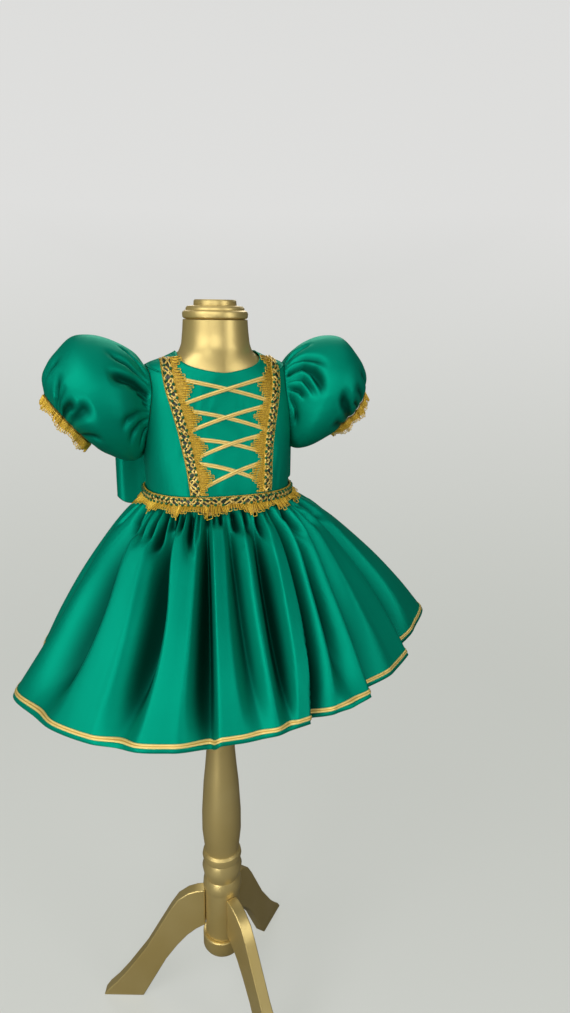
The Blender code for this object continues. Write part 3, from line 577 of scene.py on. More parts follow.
def linear(red, green, blue):
    """A colour given as it looks on a screen, 0 to 255, made linear."""
    def channel(value):
        share = value / 255.0
        return share / 12.92 if share <= 0.04045 else ((share + 0.055) / 1.055) ** 2.4
    return (channel(red), channel(green), channel(blue), 1.0)


SATIN_COLOUR = linear(0, 145, 116)
SATIN_DEEP = linear(0, 126, 101)
# Painted shade for the creases and valleys of the satin
SATIN_PAINTED_SHADE = linear(0, 46, 35)
GOLD_THREAD = linear(240, 202, 70)
GOLD_THREAD_DEEP = linear(192, 150, 34)
RIBBON_GOLD = linear(232, 208, 126)
RIBBON_GOLD_DEEP = linear(192, 150, 66)
BRAID_GOLD = linear(242, 216, 128)
BRAID_GREEN = linear(6, 124, 72)
PAINT_GOLD = linear(216, 194, 128)
PAINT_DEEP = linear(202, 178, 110)


def new_group(name, inputs, outputs):
    group = bpy.data.node_groups.new(name, "ShaderNodeTree")
    for label, kind, value in inputs:
        socket = group.interface.new_socket(label, in_out="INPUT", socket_type=kind)
        socket.default_value = value
    for label, kind in outputs:
        group.interface.new_socket(label, in_out="OUTPUT", socket_type=kind)
    start = group.nodes.new("NodeGroupInput")
    end = group.nodes.new("NodeGroupOutput")
    return group, start, end


def node(tree, kind, settings=(), values=(), links=()):
    """A shader node with its own settings, constants on its sockets and links into them."""
    made = tree.nodes.new("ShaderNode" + kind)
    for label, value in dict(settings).items():
        setattr(made, label, value)
    for label, value in dict(values).items():
        made.inputs[label].default_value = value
    for label, source in dict(links).items():
        tree.links.new(source, made.inputs[label])
    return made


def mixed_colours(tree, share, first, second):
    mix = node(tree, "Mix", {"data_type": "RGBA"}, {}, {"Factor": share, "A": first, "B": second})
    return mix.outputs["Result"]


def mapped(tree, value, values=(), links=()):
    ranged = node(tree, "MapRange", {}, values, {"Value": value, **dict(links)})
    return ranged.outputs["Result"]


def bumped(tree, height, distance, values=(), links=()):
    bump = node(tree, "Bump", {}, {"Distance": distance, **dict(values)}, {"Height": height, **dict(links)})
    return bump.outputs["Normal"]


def cloth_place(tree):
    """Where a point lies on the flat cloth, in metres."""
    return node(tree, "UVMap", {"uv_map": "cloth"}).outputs["UV"]


def object_place(tree):
    return node(tree, "TexCoord").outputs["Object"]


def finish_group(group, end, colour, roughness, normal):
    group.links.new(colour, end.inputs["Colour"])
    group.links.new(roughness, end.inputs["Roughness"])
    group.links.new(normal, end.inputs["Normal"])
    return group


SURFACE_OUTPUTS = (
    ("Colour", "NodeSocketColor"), ("Roughness", "NodeSocketFloat"), ("Normal", "NodeSocketVector"))


def satin_group():
    """Satin: fine diagonal threads, soft waves of the cloth, a slow change of colour and painted shade in its
    folds, darker by an amount stored on each point.
    """
    group, start, end = new_group(
        "satin_cloth",
        (
            ("Colour", "NodeSocketColor", SATIN_COLOUR),
            ("Deep Colour", "NodeSocketColor", SATIN_DEEP),
            ("Painted Shade Colour", "NodeSocketColor", SATIN_PAINTED_SHADE),
            ("Thread", "NodeSocketFloat", 2600.0),
            ("Wave", "NodeSocketFloat", 18.0),
            ("Relief", "NodeSocketFloat", 0.12),
            ("Streak Relief", "NodeSocketFloat", 0.35),
        ),
        SURFACE_OUTPUTS,
    )
    given = start.outputs
    flat = cloth_place(group)
    place = object_place(group)
    slow = node(group, "TexNoise", {}, {"Scale": 9.0, "Detail": 3.0}, {"Vector": place}).outputs["Fac"]
    # Painted shade: an amount stored on each point darkens the satin towards the fold colour in its creases
    # and valleys.
    depth = node(group, "Attribute", {"attribute_name": "painted_shade"}).outputs["Fac"]
    even = mixed_colours(group, slow, given["Deep Colour"], given["Colour"])
    colour = mixed_colours(group, depth, even, given["Painted Shade Colour"])
    threads = node(
        group, "TexWave", {"wave_type": "BANDS", "bands_direction": "DIAGONAL"}, {"Distortion": 1.5},
        {"Vector": flat, "Scale": given["Thread"]})
    waves = node(group, "TexNoise", {}, {"Detail": 2.0}, {"Vector": place, "Scale": given["Wave"]})
    stretched = node(group, "Mapping", {}, {"Scale": (70.0, 5.0, 1.0)}, {"Vector": flat})
    streaks = node(
        group, "TexNoise", {}, {"Scale": 1.0, "Detail": 2.0}, {"Vector": stretched.outputs["Vector"]})
    normal = bumped(group, threads.outputs["Fac"], 0.00004, {"Strength": 0.1})
    normal = bumped(
        group, waves.outputs["Fac"], 0.004, {}, {"Strength": given["Relief"], "Normal": normal})
    normal = bumped(
        group, streaks.outputs["Fac"], 0.0012, {}, {"Strength": given["Streak Relief"], "Normal": normal})
    roughness = mapped(group, slow, {"To Min": 0.45, "To Max": 0.54})
    return finish_group(group, end, colour, roughness, normal)


def speckle_group():
    """Metal thread, ribbon or paint: two colours in fine speckles, with their relief."""
    group, start, end = new_group(
        "metal_speckle",
        (
            ("Colour", "NodeSocketColor", GOLD_THREAD),
            ("Deep Colour", "NodeSocketColor", GOLD_THREAD_DEEP),
            ("Speckle", "NodeSocketFloat", 900.0),
            ("Relief", "NodeSocketFloat", 0.4),
            ("Low Roughness", "NodeSocketFloat", 0.30),
            ("High Roughness", "NodeSocketFloat", 0.55),
        ),
        SURFACE_OUTPUTS,
    )
    given = start.outputs
    grains = node(
        group, "TexNoise", {}, {"Detail": 2.0}, {"Vector": object_place(group), "Scale": given["Speckle"]})
    share = mapped(group, grains.outputs["Fac"], {"From Min": 0.35, "From Max": 0.65})
    colour = mixed_colours(group, share, given["Deep Colour"], given["Colour"])
    roughness = mapped(
        group, share, {}, {"To Min": given["High Roughness"], "To Max": given["Low Roughness"]})
    normal = bumped(group, share, 0.0003, {}, {"Strength": given["Relief"]})
    return finish_group(group, end, colour, roughness, normal)


def ribbon_group():
    """Flat woven ribbon: pale edges, a darker line along its middle and fine ribs across it."""
    group, start, end = new_group(
        "ribbon_weave",
        (
            ("Colour", "NodeSocketColor", RIBBON_GOLD),
            ("Deep Colour", "NodeSocketColor", RIBBON_GOLD_DEEP),
            ("Width", "NodeSocketFloat", HEM_RIBBON_WIDTH),
            ("Ribs", "NodeSocketFloat", 420.0),
        ),
        SURFACE_OUTPUTS,
    )
    given = start.outputs
    flat = cloth_place(group)
    split = node(group, "SeparateXYZ", {}, {}, {"Vector": flat})
    across = node(
        group, "Math", {"operation": "DIVIDE"}, {}, {0: split.outputs["Y"], 1: given["Width"]})
    centred = node(
        group, "Math", {"operation": "SUBTRACT"}, {1: 0.5}, {0: across.outputs["Value"]})
    away = node(group, "Math", {"operation": "ABSOLUTE"}, {}, {0: centred.outputs["Value"]})
    edge = mapped(group, away.outputs["Value"], {"From Min": 0.08, "From Max": 0.2})
    colour = mixed_colours(group, edge, given["Deep Colour"], given["Colour"])
    ribs = node(group, "TexWave", {}, {"Distortion": 0.6}, {"Vector": flat, "Scale": given["Ribs"]})
    normal = bumped(group, ribs.outputs["Fac"], 0.0002, {"Strength": 0.5})
    roughness = mapped(group, ribs.outputs["Fac"], {"To Min": 0.42, "To Max": 0.55})
    return finish_group(group, end, colour, roughness, normal)


def new_material(name, group, values, metallic, **constants):
    """A material whose surface comes from a group; constants are set on the shader's own sockets."""
    material = bpy.data.materials.new(name)
    material.use_nodes = True
    tree = material.node_tree
    shader = tree.nodes["Principled BSDF"]
    surface = node(tree, "Group", {"node_tree": group}, values)
    for label, socket in (("Colour", "Base Color"), ("Roughness", "Roughness"), ("Normal", "Normal")):
        tree.links.new(surface.outputs[label], shader.inputs[socket])
    shader.inputs["Metallic"].default_value = metallic
    for label, value in constants.items():
        shader.inputs[label].default_value = value
    return material


SATIN_GROUP = satin_group()
SPECKLE_GROUP = speckle_group()
SATIN = new_material(
    "emerald_satin", SATIN_GROUP, {}, 0.5,
    **{"Specular IOR Level": 0.2, "Anisotropic": 0.3, "Specular Tint": (0.1, 0.9, 0.7, 1.0)})
LACE_GOLD = new_material("gold_lace", SPECKLE_GROUP, {"Speckle": 700.0}, 0.35)
# Painted shade: the lace's ground is a darker gold, standing in for threads in shade behind the loops.
LACE_SHADE_GROUND = new_material(
    "gold_lace_shade_ground", SPECKLE_GROUP,
    {"Colour": linear(172, 134, 34), "Deep Colour": linear(98, 74, 14), "Speckle": 900.0}, 0.3)
BRAID = new_material(
    "braid_gold", SPECKLE_GROUP,
    {"Colour": BRAID_GOLD, "Deep Colour": linear(176, 138, 46), "Speckle": 600.0}, 0.6)
BRAID_DARK = new_material(
    "braid_green", SPECKLE_GROUP,
    {"Colour": BRAID_GREEN, "Deep Colour": linear(2, 30, 18), "Speckle": 900.0, "Low Roughness": 0.2}, 0.3)
# Painted shade: the braid's ground is a near-black green, standing in for the shaded gaps between its cords.
BRAID_SHADE_GROUND = new_material(
    "braid_shade_ground", SPECKLE_GROUP,
    {"Colour": linear(34, 58, 26), "Deep Colour": linear(2, 16, 8), "Speckle": 420.0}, 0.0)
RIBBON = new_material(
    "gold_ribbon", ribbon_group(), {"Width": HEM_RIBBON_WIDTH}, 0.45)
PAINT = new_material(
    "champagne_paint", SPECKLE_GROUP,
    {"Colour": PAINT_GOLD, "Deep Colour": PAINT_DEEP, "Speckle": 9.0, "Relief": 0.01,
     "Low Roughness": 0.36, "High Roughness": 0.42}, 0.65)


# The body surface that the form and the bodice share

def body_section(z):
    return tuple(reading(FORM_STATIONS, z, column) for column in (1, 2, 3, 4))


def body_surface(angle, z):
    """The form's surface: angle 0 is the centre front and grows towards +X."""
    half_width, front, back, power = body_section(z)
    depth = np.where(np.cos(angle) > 0.0, front, back)
    x = half_width * signed_power(np.sin(angle), 2.0 / power)
    y = -depth * signed_power(np.cos(angle), 2.0 / power)
    return stacked(x, y, z)


def body_point(angle, z, height):
    return raised(body_surface, angle, z, height)


def body_angle_at_depth(y, z):
    """The angle from the centre front (or back) at which the section reaches a depth."""
    _, front, back, power = body_section(z)
    depth = np.where(y < 0.0, front, back)
    return np.arccos(np.minimum(1.0, np.abs(y) / depth) ** (power / 2.0))


def body_angle_at_width(x, z, height):
    half_width, _, _, power = body_section(z)
    share = np.minimum(1.0, np.abs(x) / (half_width + height))
    return np.sign(x) * np.arcsin(share ** (power / 2.0))


# Bodice

def bodice_side_edge(up, face):
    """Angle and height of a panel's side edge: side seam, armhole edge, then shoulder seam."""
    turn = np.clip((up - SIDE_SHARE) / (ARMHOLE_SHARE - SIDE_SHARE), 0.0, 1.0)
    swing = math.pi * (turn - 0.5)
    hole_depth = (ARMHOLE_HALF_DEPTH + ARMHOLE_CLEARANCE) * np.cos(swing)
    hole_z = ARMHOLE_Z + (ARMHOLE_HALF_HEIGHT + ARMHOLE_CLEARANCE) * np.sin(swing)
    seam_z = WAIST_Z + (UNDERARM_Z - WAIST_Z) * up / SIDE_SHARE
    shoulder_share = (up - ARMHOLE_SHARE) / (1.0 - ARMHOLE_SHARE)
    shoulder_z = SHOULDER_TIP_Z + (NECK_SIDE_Z - SHOULDER_TIP_Z) * shoulder_share
    in_hole = (up > SIDE_SHARE) & (up <= ARMHOLE_SHARE)
    depth = np.where(in_hole, np.maximum(hole_depth, SEAM_GAP / 2.0), SEAM_GAP / 2.0)
    z = np.where(up <= SIDE_SHARE, seam_z, np.where(in_hole, hole_z, shoulder_z))
    return body_angle_at_depth(face * depth, z), z


def bodice_middle_z(up, neck_z):
    lower = WAIST_Z + (UNDERARM_Z - WAIST_Z) * up / SIDE_SHARE
    upper = UNDERARM_Z + (neck_z - UNDERARM_Z) * (up - SIDE_SHARE) / (1.0 - SIDE_SHARE)
    return np.where(up <= SIDE_SHARE, lower, upper)


def bodice_place(across, up, face, neck_z, height):
    """across runs from the middle (0) to the side edge (1 at +X, -1 at -X) of the front or the back."""
    edge_angle, edge_z = bodice_side_edge(up, face)
    angle = edge_angle * across
    away = smooth_share(np.abs(across))
    z = bodice_middle_z(up, neck_z) * (1.0 - away) + edge_z * away
    if face > 0.0:
        angle = math.pi - angle
    return body_point(angle, z, height)


def build_bodice():
    def front(u, v):
        across = 2.0 * u - 1.0
        middle = 1.0 - smooth_share((np.abs(across) - 0.25) / 0.30)
        slow = np.sin(37.0 * across + 3.0 * np.sin(9.0 * v + 1.0))
        fine = np.cos(61.0 * across + 2.0 * np.sin(14.0 * v))
        low = 1.0 - smooth_share(v / 0.25)
        ripple = middle * smooth_share((1.0 - v) / 0.2) * (0.00045 * slow + (0.0002 + 0.0003 * low) * fine)
        return bodice_place(across, v, -1.0, NECK_FRONT_Z, BODICE_OUT + ripple)

    def back(u, v, hand):
        seam = 0.00002
        return bodice_place(hand * (seam + (1.0 - seam) * u), v, 1.0, NECK_BACK_Z, BODICE_OUT)

    panel = cloth("satin_bodice_front", 120, 90, front, SATIN, size=(0.26, 0.17))
    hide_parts("bodice_front")
    for name, hand in (("left", -1.0), ("right", 1.0)):
        half = cloth(
            "satin_bodice_back_" + name, 60, 90, lambda u, v: back(u, v, hand), SATIN,
            size=(0.13, 0.17), outward=hand)
        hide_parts("bodice_back_" + name)


# Puff sleeves

def sleeve_ring(along, turn):
    top_x, top_z, low_x, low_z, half_depth = (
        reading(SLEEVE_RINGS, along, column) for column in (1, 2, 3, 4, 5))
    x = (top_x + low_x) / 2.0 + (top_x - low_x) / 2.0 * np.cos(turn)
    z = (top_z + low_z) / 2.0 + (top_z - low_z) / 2.0 * np.cos(turn)
    return stacked(x, half_depth * np.sin(turn), z)


def sleeve_start(turn):
    """The sleeve's first ring, inside the bodice's armhole edge and just clear of the form."""
    z = ARMHOLE_Z + ARMHOLE_HALF_HEIGHT * np.cos(turn)
    y = ARMHOLE_HALF_DEPTH * np.sin(turn)
    angle = body_angle_at_depth(y, z)
    angle = np.where(y > 0.0, math.pi - angle, angle)
    return body_point(angle, z, CLOTH_TO_FORM + CLOTH_WALL)


def crease_depth(turn, along, path, depth, start_width, end_width):
    """Depth of one crease: deepest just past its start, wider and shallower towards its end."""
    across = np.degrees(turn) * SLEEVE_TURN_SIZE
    down = along * SLEEVE_ALONG_SIZE
    points = [(degrees * SLEEVE_TURN_SIZE, share * SLEEVE_ALONG_SIZE) for degrees, share in path]
    nearest = np.full_like(turn, 1.0)
    progress = np.zeros_like(turn)
    legs = len(points) - 1
    for index, (start, end) in enumerate(zip(points, points[1:])):
        run_x, run_y = end[0] - start[0], end[1] - start[1]
        share = np.clip(
            ((across - start[0]) * run_x + (down - start[1]) * run_y) / (run_x ** 2 + run_y ** 2), 0.0, 1.0)
        distance = np.hypot(across - start[0] - share * run_x, down - start[1] - share * run_y)
        closer = distance < nearest
        nearest = np.where(closer, distance, nearest)
        progress = np.where(closer, (index + share) / legs, progress)
    width = start_width + (end_width - start_width) * progress
    strength = 0.55 + 0.45 * smooth_share(progress / 0.4)
    strength = strength * (1.0 - smooth_share((progress - 0.65) / 0.35))
    return depth * strength * np.exp(-(nearest / width) ** 2)


def sleeve_gather(along, turn, name):
    """Gathers run in from the armhole seam and from the cuff and fade over the puff."""
    near_armhole = smooth_share(along / 0.06) * (1.0 - smooth_share((along - 0.06) / 0.22))
    near_cuff = smooth_share((along - 0.72) / 0.22) * (1.0 - 0.55 * smooth_share((along - 0.95) / 0.05))
    wave = np.cos(SLEEVE_GATHERS * turn + 1.6 * np.sin(2.0 * turn + 0.5))
    height = wave * (0.0014 * near_armhole + 0.0012 * near_cuff)
    start = smooth_share(along / 0.05)
    whole_turn = turn % (2.0 * math.pi)
    for path, depth, start_width, end_width in SLEEVE_CREASES[name] + SLEEVE_CREASES["behind"]:
        height = height - start * crease_depth(whole_turn, along, path, depth, start_width, end_width)
    return height


def sleeve_surface(turn, along, hand):
    ring = sleeve_ring(along, turn)
    blend = (1.0 - np.clip(along / 0.22, 0.0, 1.0)) ** 2
    ring = ring + (sleeve_start(turn) - sleeve_ring(np.zeros_like(along), turn)) * blend[:, None]
    middle = (sleeve_ring(along, np.zeros_like(turn)) + sleeve_ring(along, np.full_like(turn, math.pi))) / 2.0
    outward = unit(ring - middle)
    point = ring + outward * sleeve_gather(along, turn, "left" if hand < 0.0 else "right")[:, None]
    reach = RIGHT_SLEEVE_REACH if hand > 0.0 else LEFT_SLEEVE_REACH
    point[:, 0] = 0.09 + (point[:, 0] - 0.09) * np.where(point[:, 0] > 0.09, reach, 1.0)
    if hand > 0.0:
        point[:, 2] += RIGHT_SLEEVE_LIFT * smooth_share(along / 0.25) * (1.0 - np.cos(turn)) / 2.0
    point[:, 0] *= hand
    return point


def build_sleeve(name, hand):
    def place(u, v):
        return sleeve_surface(2.0 * math.pi * u, v, hand)

    # Painted shade: how much the satin is darkened where creases and gathers sink inwards.
    def painted_fold_shade(u, v):
        return 0.8 * smooth_share((-sleeve_gather(v, 2.0 * math.pi * u, name) - 0.0006) / 0.0055)

    item = cloth(
        "satin_sleeve_" + name, 240, 96, place, SATIN, closed=True, size=(0.45, 0.20), outward=-hand,
        painted_fold_shade=painted_fold_shade)
    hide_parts("sleeve_" + name)


# Skirt

def deepened(rise):
    return rise * (FOLD_DEPTH if rise < 0.0 else 1.0)


def fold_value(angle_deg, along, columns):
    """Smooth wave through the ridges and valleys of the fold table at places down the skirt."""
    down = np.clip(along, 0.0, 1.0)
    places = []
    heights = []
    for row in SKIRT_FOLDS:
        path = (
            (0.0, 1.06 * row[0] - 0.06 * row[1]), (FOLD_TOP, row[0]), (FOLD_MIDDLE, row[1]), (1.0, row[2]))
        places.append(reading(path, down, 1))
        if len(columns) == 1:
            heights.append(row[columns[0]] * down)
        else:
            top, middle, low = (row[column] for column in columns)
            knee = 0.8 * middle + 0.2 * low
            path = (
                (0.0, 0.0), (FOLD_TOP, deepened(top)), (FOLD_MIDDLE, deepened(middle)),
                (FOLD_KNEE, deepened(knee)), (1.0, low))
            heights.append(reading(path, down, 1))
    turned_deg = (angle_deg - places[0]) % 360.0 + places[0]
    value = np.zeros_like(angle_deg)
    count = len(SKIRT_FOLDS)
    for index in range(count):
        after = (index + 1) % count
        end = places[after] + (360.0 if after == 0 else 0.0)
        inside = (turned_deg >= places[index]) & (turned_deg <= end)
        share = smooth_share((turned_deg - places[index]) / (end - places[index]))
        value = np.where(inside, heights[index] + (heights[after] - heights[index]) * share, value)
    return value


def uneven_gathers(seed, count, start_deg, end_deg):
    """Uneven gathers between two angles, drawn once from a fixed seed."""
    chance = np.random.default_rng(seed)
    step = (end_deg - start_deg) / count
    rows = []
    for index in range(count):
        top_deg = start_deg + step * (index + chance.uniform(-0.25, 0.25))
        swing, length, depth, half_width = chance.uniform((-1.5, 0.12, 0.003, 1.2), (1.5, 0.32, 0.006, 2.1))
        rows.append((top_deg, top_deg + swing, length, depth, half_width))
    return tuple(rows)


ALL_GATHERS = (
    WAIST_GATHERS
    + uneven_gathers(7, HIDDEN_GATHERS, HIDDEN_GATHERS_FROM_DEG, HIDDEN_GATHERS_TO_DEG)
    + uneven_gathers(11, FRONT_GATHERS, -84.0, 76.0)
)


def skirt_gather(angle_deg, along):
    value = np.zeros_like(angle_deg)
    rise = smooth_share(along / 0.05)
    for top_deg, end_deg, length, depth, half_width in ALL_GATHERS:
        share = np.clip(along / length, 0.0, 1.0)
        away = (angle_deg - top_deg - (end_deg - top_deg) * share + 180.0) % 360.0 - 180.0
        width = half_width * (0.6 + 0.7 * share)
        fade = 1.0 - smooth_share((share - 0.5) / 0.5)
        value -= GATHER_DEPTH * depth * fade * np.exp(-(away / width) ** 2)
    return (value + 0.0015) * rise * (1.0 - smooth_share((along - 0.15) / 0.25))


def skirt_surface(turn, along, gathered=1.0):
    """The skirt's outer side: turn is the angle from the centre front, along runs from waist to hem."""
    angle_deg = np.degrees(turn)
    top = body_point(turn, np.full_like(turn, SKIRT_TOP_Z), BODICE_OUT - 0.0002)
    hem_r = reading(HEM_RADII, (angle_deg + 180.0) % 360.0 - 180.0, 1)
    outward = stacked(np.sin(turn), -np.cos(turn), 0.0)
    hem = outward * hem_r[:, None]
    share_out = reading(SKIRT_PROFILE, along, 1)
    share_down = reading(SKIRT_PROFILE, along, 2)
    reach = hem_r - np.hypot(top[:, 0], top[:, 1])
    chord = SKIRT_CHORD - SKIRT_CHORD_LESS_RIGHT * smooth_share((np.sin(turn) + 0.15) / 0.85)
    hem_step = smooth_share((angle_deg - HEM_STEP_DEG) / 2.5) * (1.0 - smooth_share((angle_deg - 5.0) / 20.0))
    chord = chord - HEM_STEP * hem_step
    drop = np.sqrt(chord * chord - reach * reach)
    point = top + (hem - top) * share_out[:, None]
    point[:, 2] = SKIRT_TOP_Z - drop * share_down
    fold = fold_value(angle_deg, along, (3, 4, 5))
    lean = fold_value(angle_deg, along, (6,))
    sideways = stacked(np.cos(turn), np.sin(turn), 0.0)
    lift = skirt_gather(angle_deg, along) if gathered > 0.0 else 0.0 * turn
    point += sideways * lean[:, None]
    point += outward * (fold * 0.85 + lift * 0.7)[:, None]
    point[:, 2] += fold * 0.30 + lift * 0.7
    return point


def skirt_point(turn, along, height, gathered=1.0):
    def surface(angle, place):
        return skirt_surface(angle, place, gathered)
    return raised(surface, turn, along, -np.asarray(height, float))


def skirt_spacing(start, end):
    """Angles spaced so that the columns of the grid lie evenly along the folded cloth."""
    fine = np.linspace(start, end, 1801)
    line = skirt_surface(np.radians(fine), np.full_like(fine, 0.85))
    lengths = np.concatenate(((0.0,), np.cumsum(np.linalg.norm(np.diff(line, axis=0), axis=1))))

    def angle_at(share):
        return np.radians(np.interp(share * lengths[-1], lengths, fine))
    return angle_at


SKIRT_PANELS = (
    # name, start_deg, end_deg
    ("front", -90.0, 90.0),
    ("back", 90.0, 270.0),
)
SKIRT_COLUMNS = 470


def build_skirt():
    for name, start, end in SKIRT_PANELS:
        angle_at = skirt_spacing(start, end)

        def place(u, v):
            return skirt_surface(angle_at(u), v ** 1.2)

        # Painted shade: how much the satin is darkened in the valleys of its folds and gathers, by their
        # depth.
        def painted_fold_shade(u, v):
            angle_deg = np.degrees(angle_at(u))
            along = v ** 1.2
            depth = -fold_value(angle_deg, along, (3, 4, 5)) - 2.6 * skirt_gather(angle_deg, along)
            return 0.85 * smooth_share((depth - 0.001) / 0.024)

        panel = cloth(
            "satin_skirt_" + name, SKIRT_COLUMNS, 80, place, SATIN, size=(0.95, 0.27), outward=-1.0,
            painted_fold_shade=painted_fold_shade)
        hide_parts("skirt_" + name)


def build_hem_ribbon():
    low = 1.0 - HEM_RIBBON_LOW / SKIRT_SLOPE_LENGTH
    high = low - HEM_RIBBON_WIDTH / SKIRT_SLOPE_LENGTH
    spacings = [skirt_spacing(start, end) for name, start, end in SKIRT_PANELS]

    def place(u, v):
        turn = np.where(u < 0.5, spacings[0](2.0 * u), spacings[1](2.0 * u - 1.0))
        return skirt_point(turn, high + (low - high) * v, np.full_like(u, 0.0009))

    band = cloth(
        "ribbon_hem", 2 * SKIRT_COLUMNS, 4, place, RIBBON, closed=True, wall=0.0005,
        size=(1.9, HEM_RIBBON_WIDTH), outward=-1.0)
    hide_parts("hem_ribbon")


# Lace

def scallop(phase):
    """A leaf-shaped scallop: 0 at the notches and 1 at the tip."""
    away = np.abs(2.0 * (phase % 1.0) - 1.0)
    return (1.0 - away) ** 0.8


def front_trim_point(x, z, height):
    """A point over the bodice front, x measured from the middle of the trim."""
    return body_point(body_angle_at_width(x + TRIM_SHIFT, z, height), z, height)


def strip_trim(hand):
    """Maps a place along a front strip and a distance in from its outer edge to a point."""
    def place(along, inward, height):
        z = STRIP_STATIONS[0][0] + (STRIP_STATIONS[-1][0] - STRIP_STATIONS[0][0]) * along
        x = reading(STRIP_STATIONS, z, 1) - inward
        z = z + STRIP_TOP_SLANT * inward * smooth_share((along - 0.8) / 0.2)
        return front_trim_point(hand * x, z, BODICE_OUT + height)
    return place


def waist_trim(along, outward, height):
    """The same round the waist, outward from the braid's upper edge: down the bodice and over the skirt."""
    turn = 2.0 * math.pi * along
    z = WAIST_BRAID_TOP_Z - outward
    on_body = body_point(turn, np.maximum(z, WAIST_Z + 0.002), BODICE_OUT + 0.0012 + height)
    reach = np.maximum(0.0, outward - 0.0110) / SKIRT_SLOPE_LENGTH
    on_skirt = skirt_point(turn, reach, 0.0033 + height, 0.0)
    share = smooth_share((outward - 0.0085) / 0.004)[:, None]
    return on_body + (on_skirt - on_body) * share


def cuff_trim(hand):
    """The same round a cuff edge."""
    turns = np.linspace(0.0, 2.0 * math.pi, 721)
    ones = np.ones_like(turns)
    edges = sleeve_surface(turns, ones, hand)
    onto_edge = unit(edges - sleeve_surface(turns, 0.97 * ones, hand)) * 0.0005
    middle = (edges[0] + edges[360]) / 2.0
    outwards = unit(edges - middle)

    def read(table, turn):
        return np.stack([np.interp(turn, turns, table[:, axis]) for axis in range(3)], axis=-1)

    def place(along, reach, height):
        turn = 2.0 * math.pi * along
        share = (1.0 + np.cos(turn)) / 2.0
        tilt = CUFF_LACE_TILT_LOW + (CUFF_LACE_TILT_TOP - CUFF_LACE_TILT_LOW) * share
        onward = stacked(hand * np.cos(tilt), 0.0, -np.sin(tilt))
        outward = read(outwards, turn)
        return (
            read(edges + onto_edge, turn) + onward * reach[:, None]
            + outward * (0.12 * reach + height)[:, None])
    return place


LOOP_TURN_POINTS = 5
LOOPS_IN_SCALLOP = 13
LACE_STEPS = 4.0
LACE_CORD_RADIUS = 0.00046
BRAID_WIDTH = 0.0118
BRAID_PERIOD = 0.0216
BEAD_RADIUS = 0.00200
BEAD_HEIGHT = 0.0032
PLAIT_RADIUS = 0.00078
PLAIT_HEIGHT = 0.0021
TWIN_STEP = 0.034
PICOT_RADIUS = 0.0004
PICOT_HEIGHT = 0.0016
PICOT_PERIOD = 0.0028
LOOP_HALF_WIDTH = 0.36
LOOP_HEIGHT = 0.0012
UNDER_BRAID = 0.8
GROUND_HEIGHT = 0.0006
GROUND_TIP_BACK = 0.0035
GROUND_EDGE_BACK = 0.0015
TRIM_WALL = 0.0004
LACE_GROUND_WIDTH = 0.02
LACE_UNDER_BRAID = 0.010
BRAID_GROUND_HEIGHT = 0.0013
BRAID_WALL = 0.0006
WAIST_LACE_LENGTH = 0.52
WAIST_NOTCH = 0.0175
CUFF_LACE_LENGTH = 0.24
CUFF_NOTCH = 0.0085
CUFF_TIP = 0.0065
CUFF_BAND = 0.002


def loop_path(trim, along, half_width, inner, outer, height):
    """One long loop of cord: up one side, round the end and back down the other side."""
    straight = np.linspace(inner, outer - 0.0006, 5)
    swing = np.linspace(-1.0, 1.0, LOOP_TURN_POINTS)
    sides = np.concatenate((np.full(5, -1.0), np.sin(swing * math.pi / 2.0) * 0.9, np.full(5, 1.0)))
    rounded = outer - 0.0006 + 0.0006 * np.cos(swing * math.pi / 2.0)
    reach = np.concatenate((straight, rounded, straight[::-1]))
    taper = 0.55 + 0.45 * (reach - inner) / (outer - inner)
    return trim(along + sides * taper * half_width, reach, np.full_like(reach, height))


def build_lace(name, trim, length, scallops, phase_at, notch, tip, braid):
    """A scalloped lace: a thin ground in darker gold, painted shade behind the loops, and fans of long loops
    whose reach follows the scallops.
    """
    count = int(round(scallops * LOOPS_IN_SCALLOP))
    paths = []
    for index in range(count):
        along = (index + 0.5) / count
        size = scallop(phase_at(along))
        outer = notch(along) + tip * np.round(size * LACE_STEPS) / LACE_STEPS
        paths.append(loop_path(
            trim, along, LOOP_HALF_WIDTH / count, braid * UNDER_BRAID, float(outer), LOOP_HEIGHT))
    cords(name + "_loops", paths, LACE_CORD_RADIUS, LACE_GOLD)

    def ground(u, v):
        reach = (notch(u) + (tip - GROUND_TIP_BACK) * scallop(phase_at(u)) - GROUND_EDGE_BACK) * v
        return trim(u, reach, np.full_like(u, GROUND_HEIGHT))

    base = cloth(
        name + "_ground", count * 3, 6, ground, LACE_SHADE_GROUND, wall=TRIM_WALL, size=(length, LACE_GROUND_WIDTH))
    return base


def braid_paths(trim, length):
    """Three doubled cords plaited across the braid."""
    along = np.linspace(0.0, 1.0, int(length / 0.0010))
    paths = []
    for strand in range(3):
        for twin in (-0.5, 0.5):
            phase = 2.0 * math.pi * (length / BRAID_PERIOD * along + strand / 3.0 + TWIN_STEP * twin)
            phase = phase + 0.45 * np.sin(0.37 * phase + 2.0 * strand)
            across = BRAID_WIDTH / 2.0 + (0.36 * BRAID_WIDTH + 0.0007 * twin) * np.sin(phase)
            paths.append(trim(along, across, PLAIT_HEIGHT + 0.0008 * np.cos(2.0 * phase)))
    return paths


def picot_paths(trim, length):
    """A fine wavy cord along each edge of the braid."""
    along = np.linspace(0.0, 1.0, int(length / 0.0005))
    wave = 2.0 * math.pi * length / PICOT_PERIOD * along
    paths = []
    for side in (-1.0, 1.0):
        across = BRAID_WIDTH / 2.0 + side * (0.46 * BRAID_WIDTH + 0.0005 * np.sin(wave))
        paths.append(trim(along, across, np.full_like(along, PICOT_HEIGHT)))
    return paths


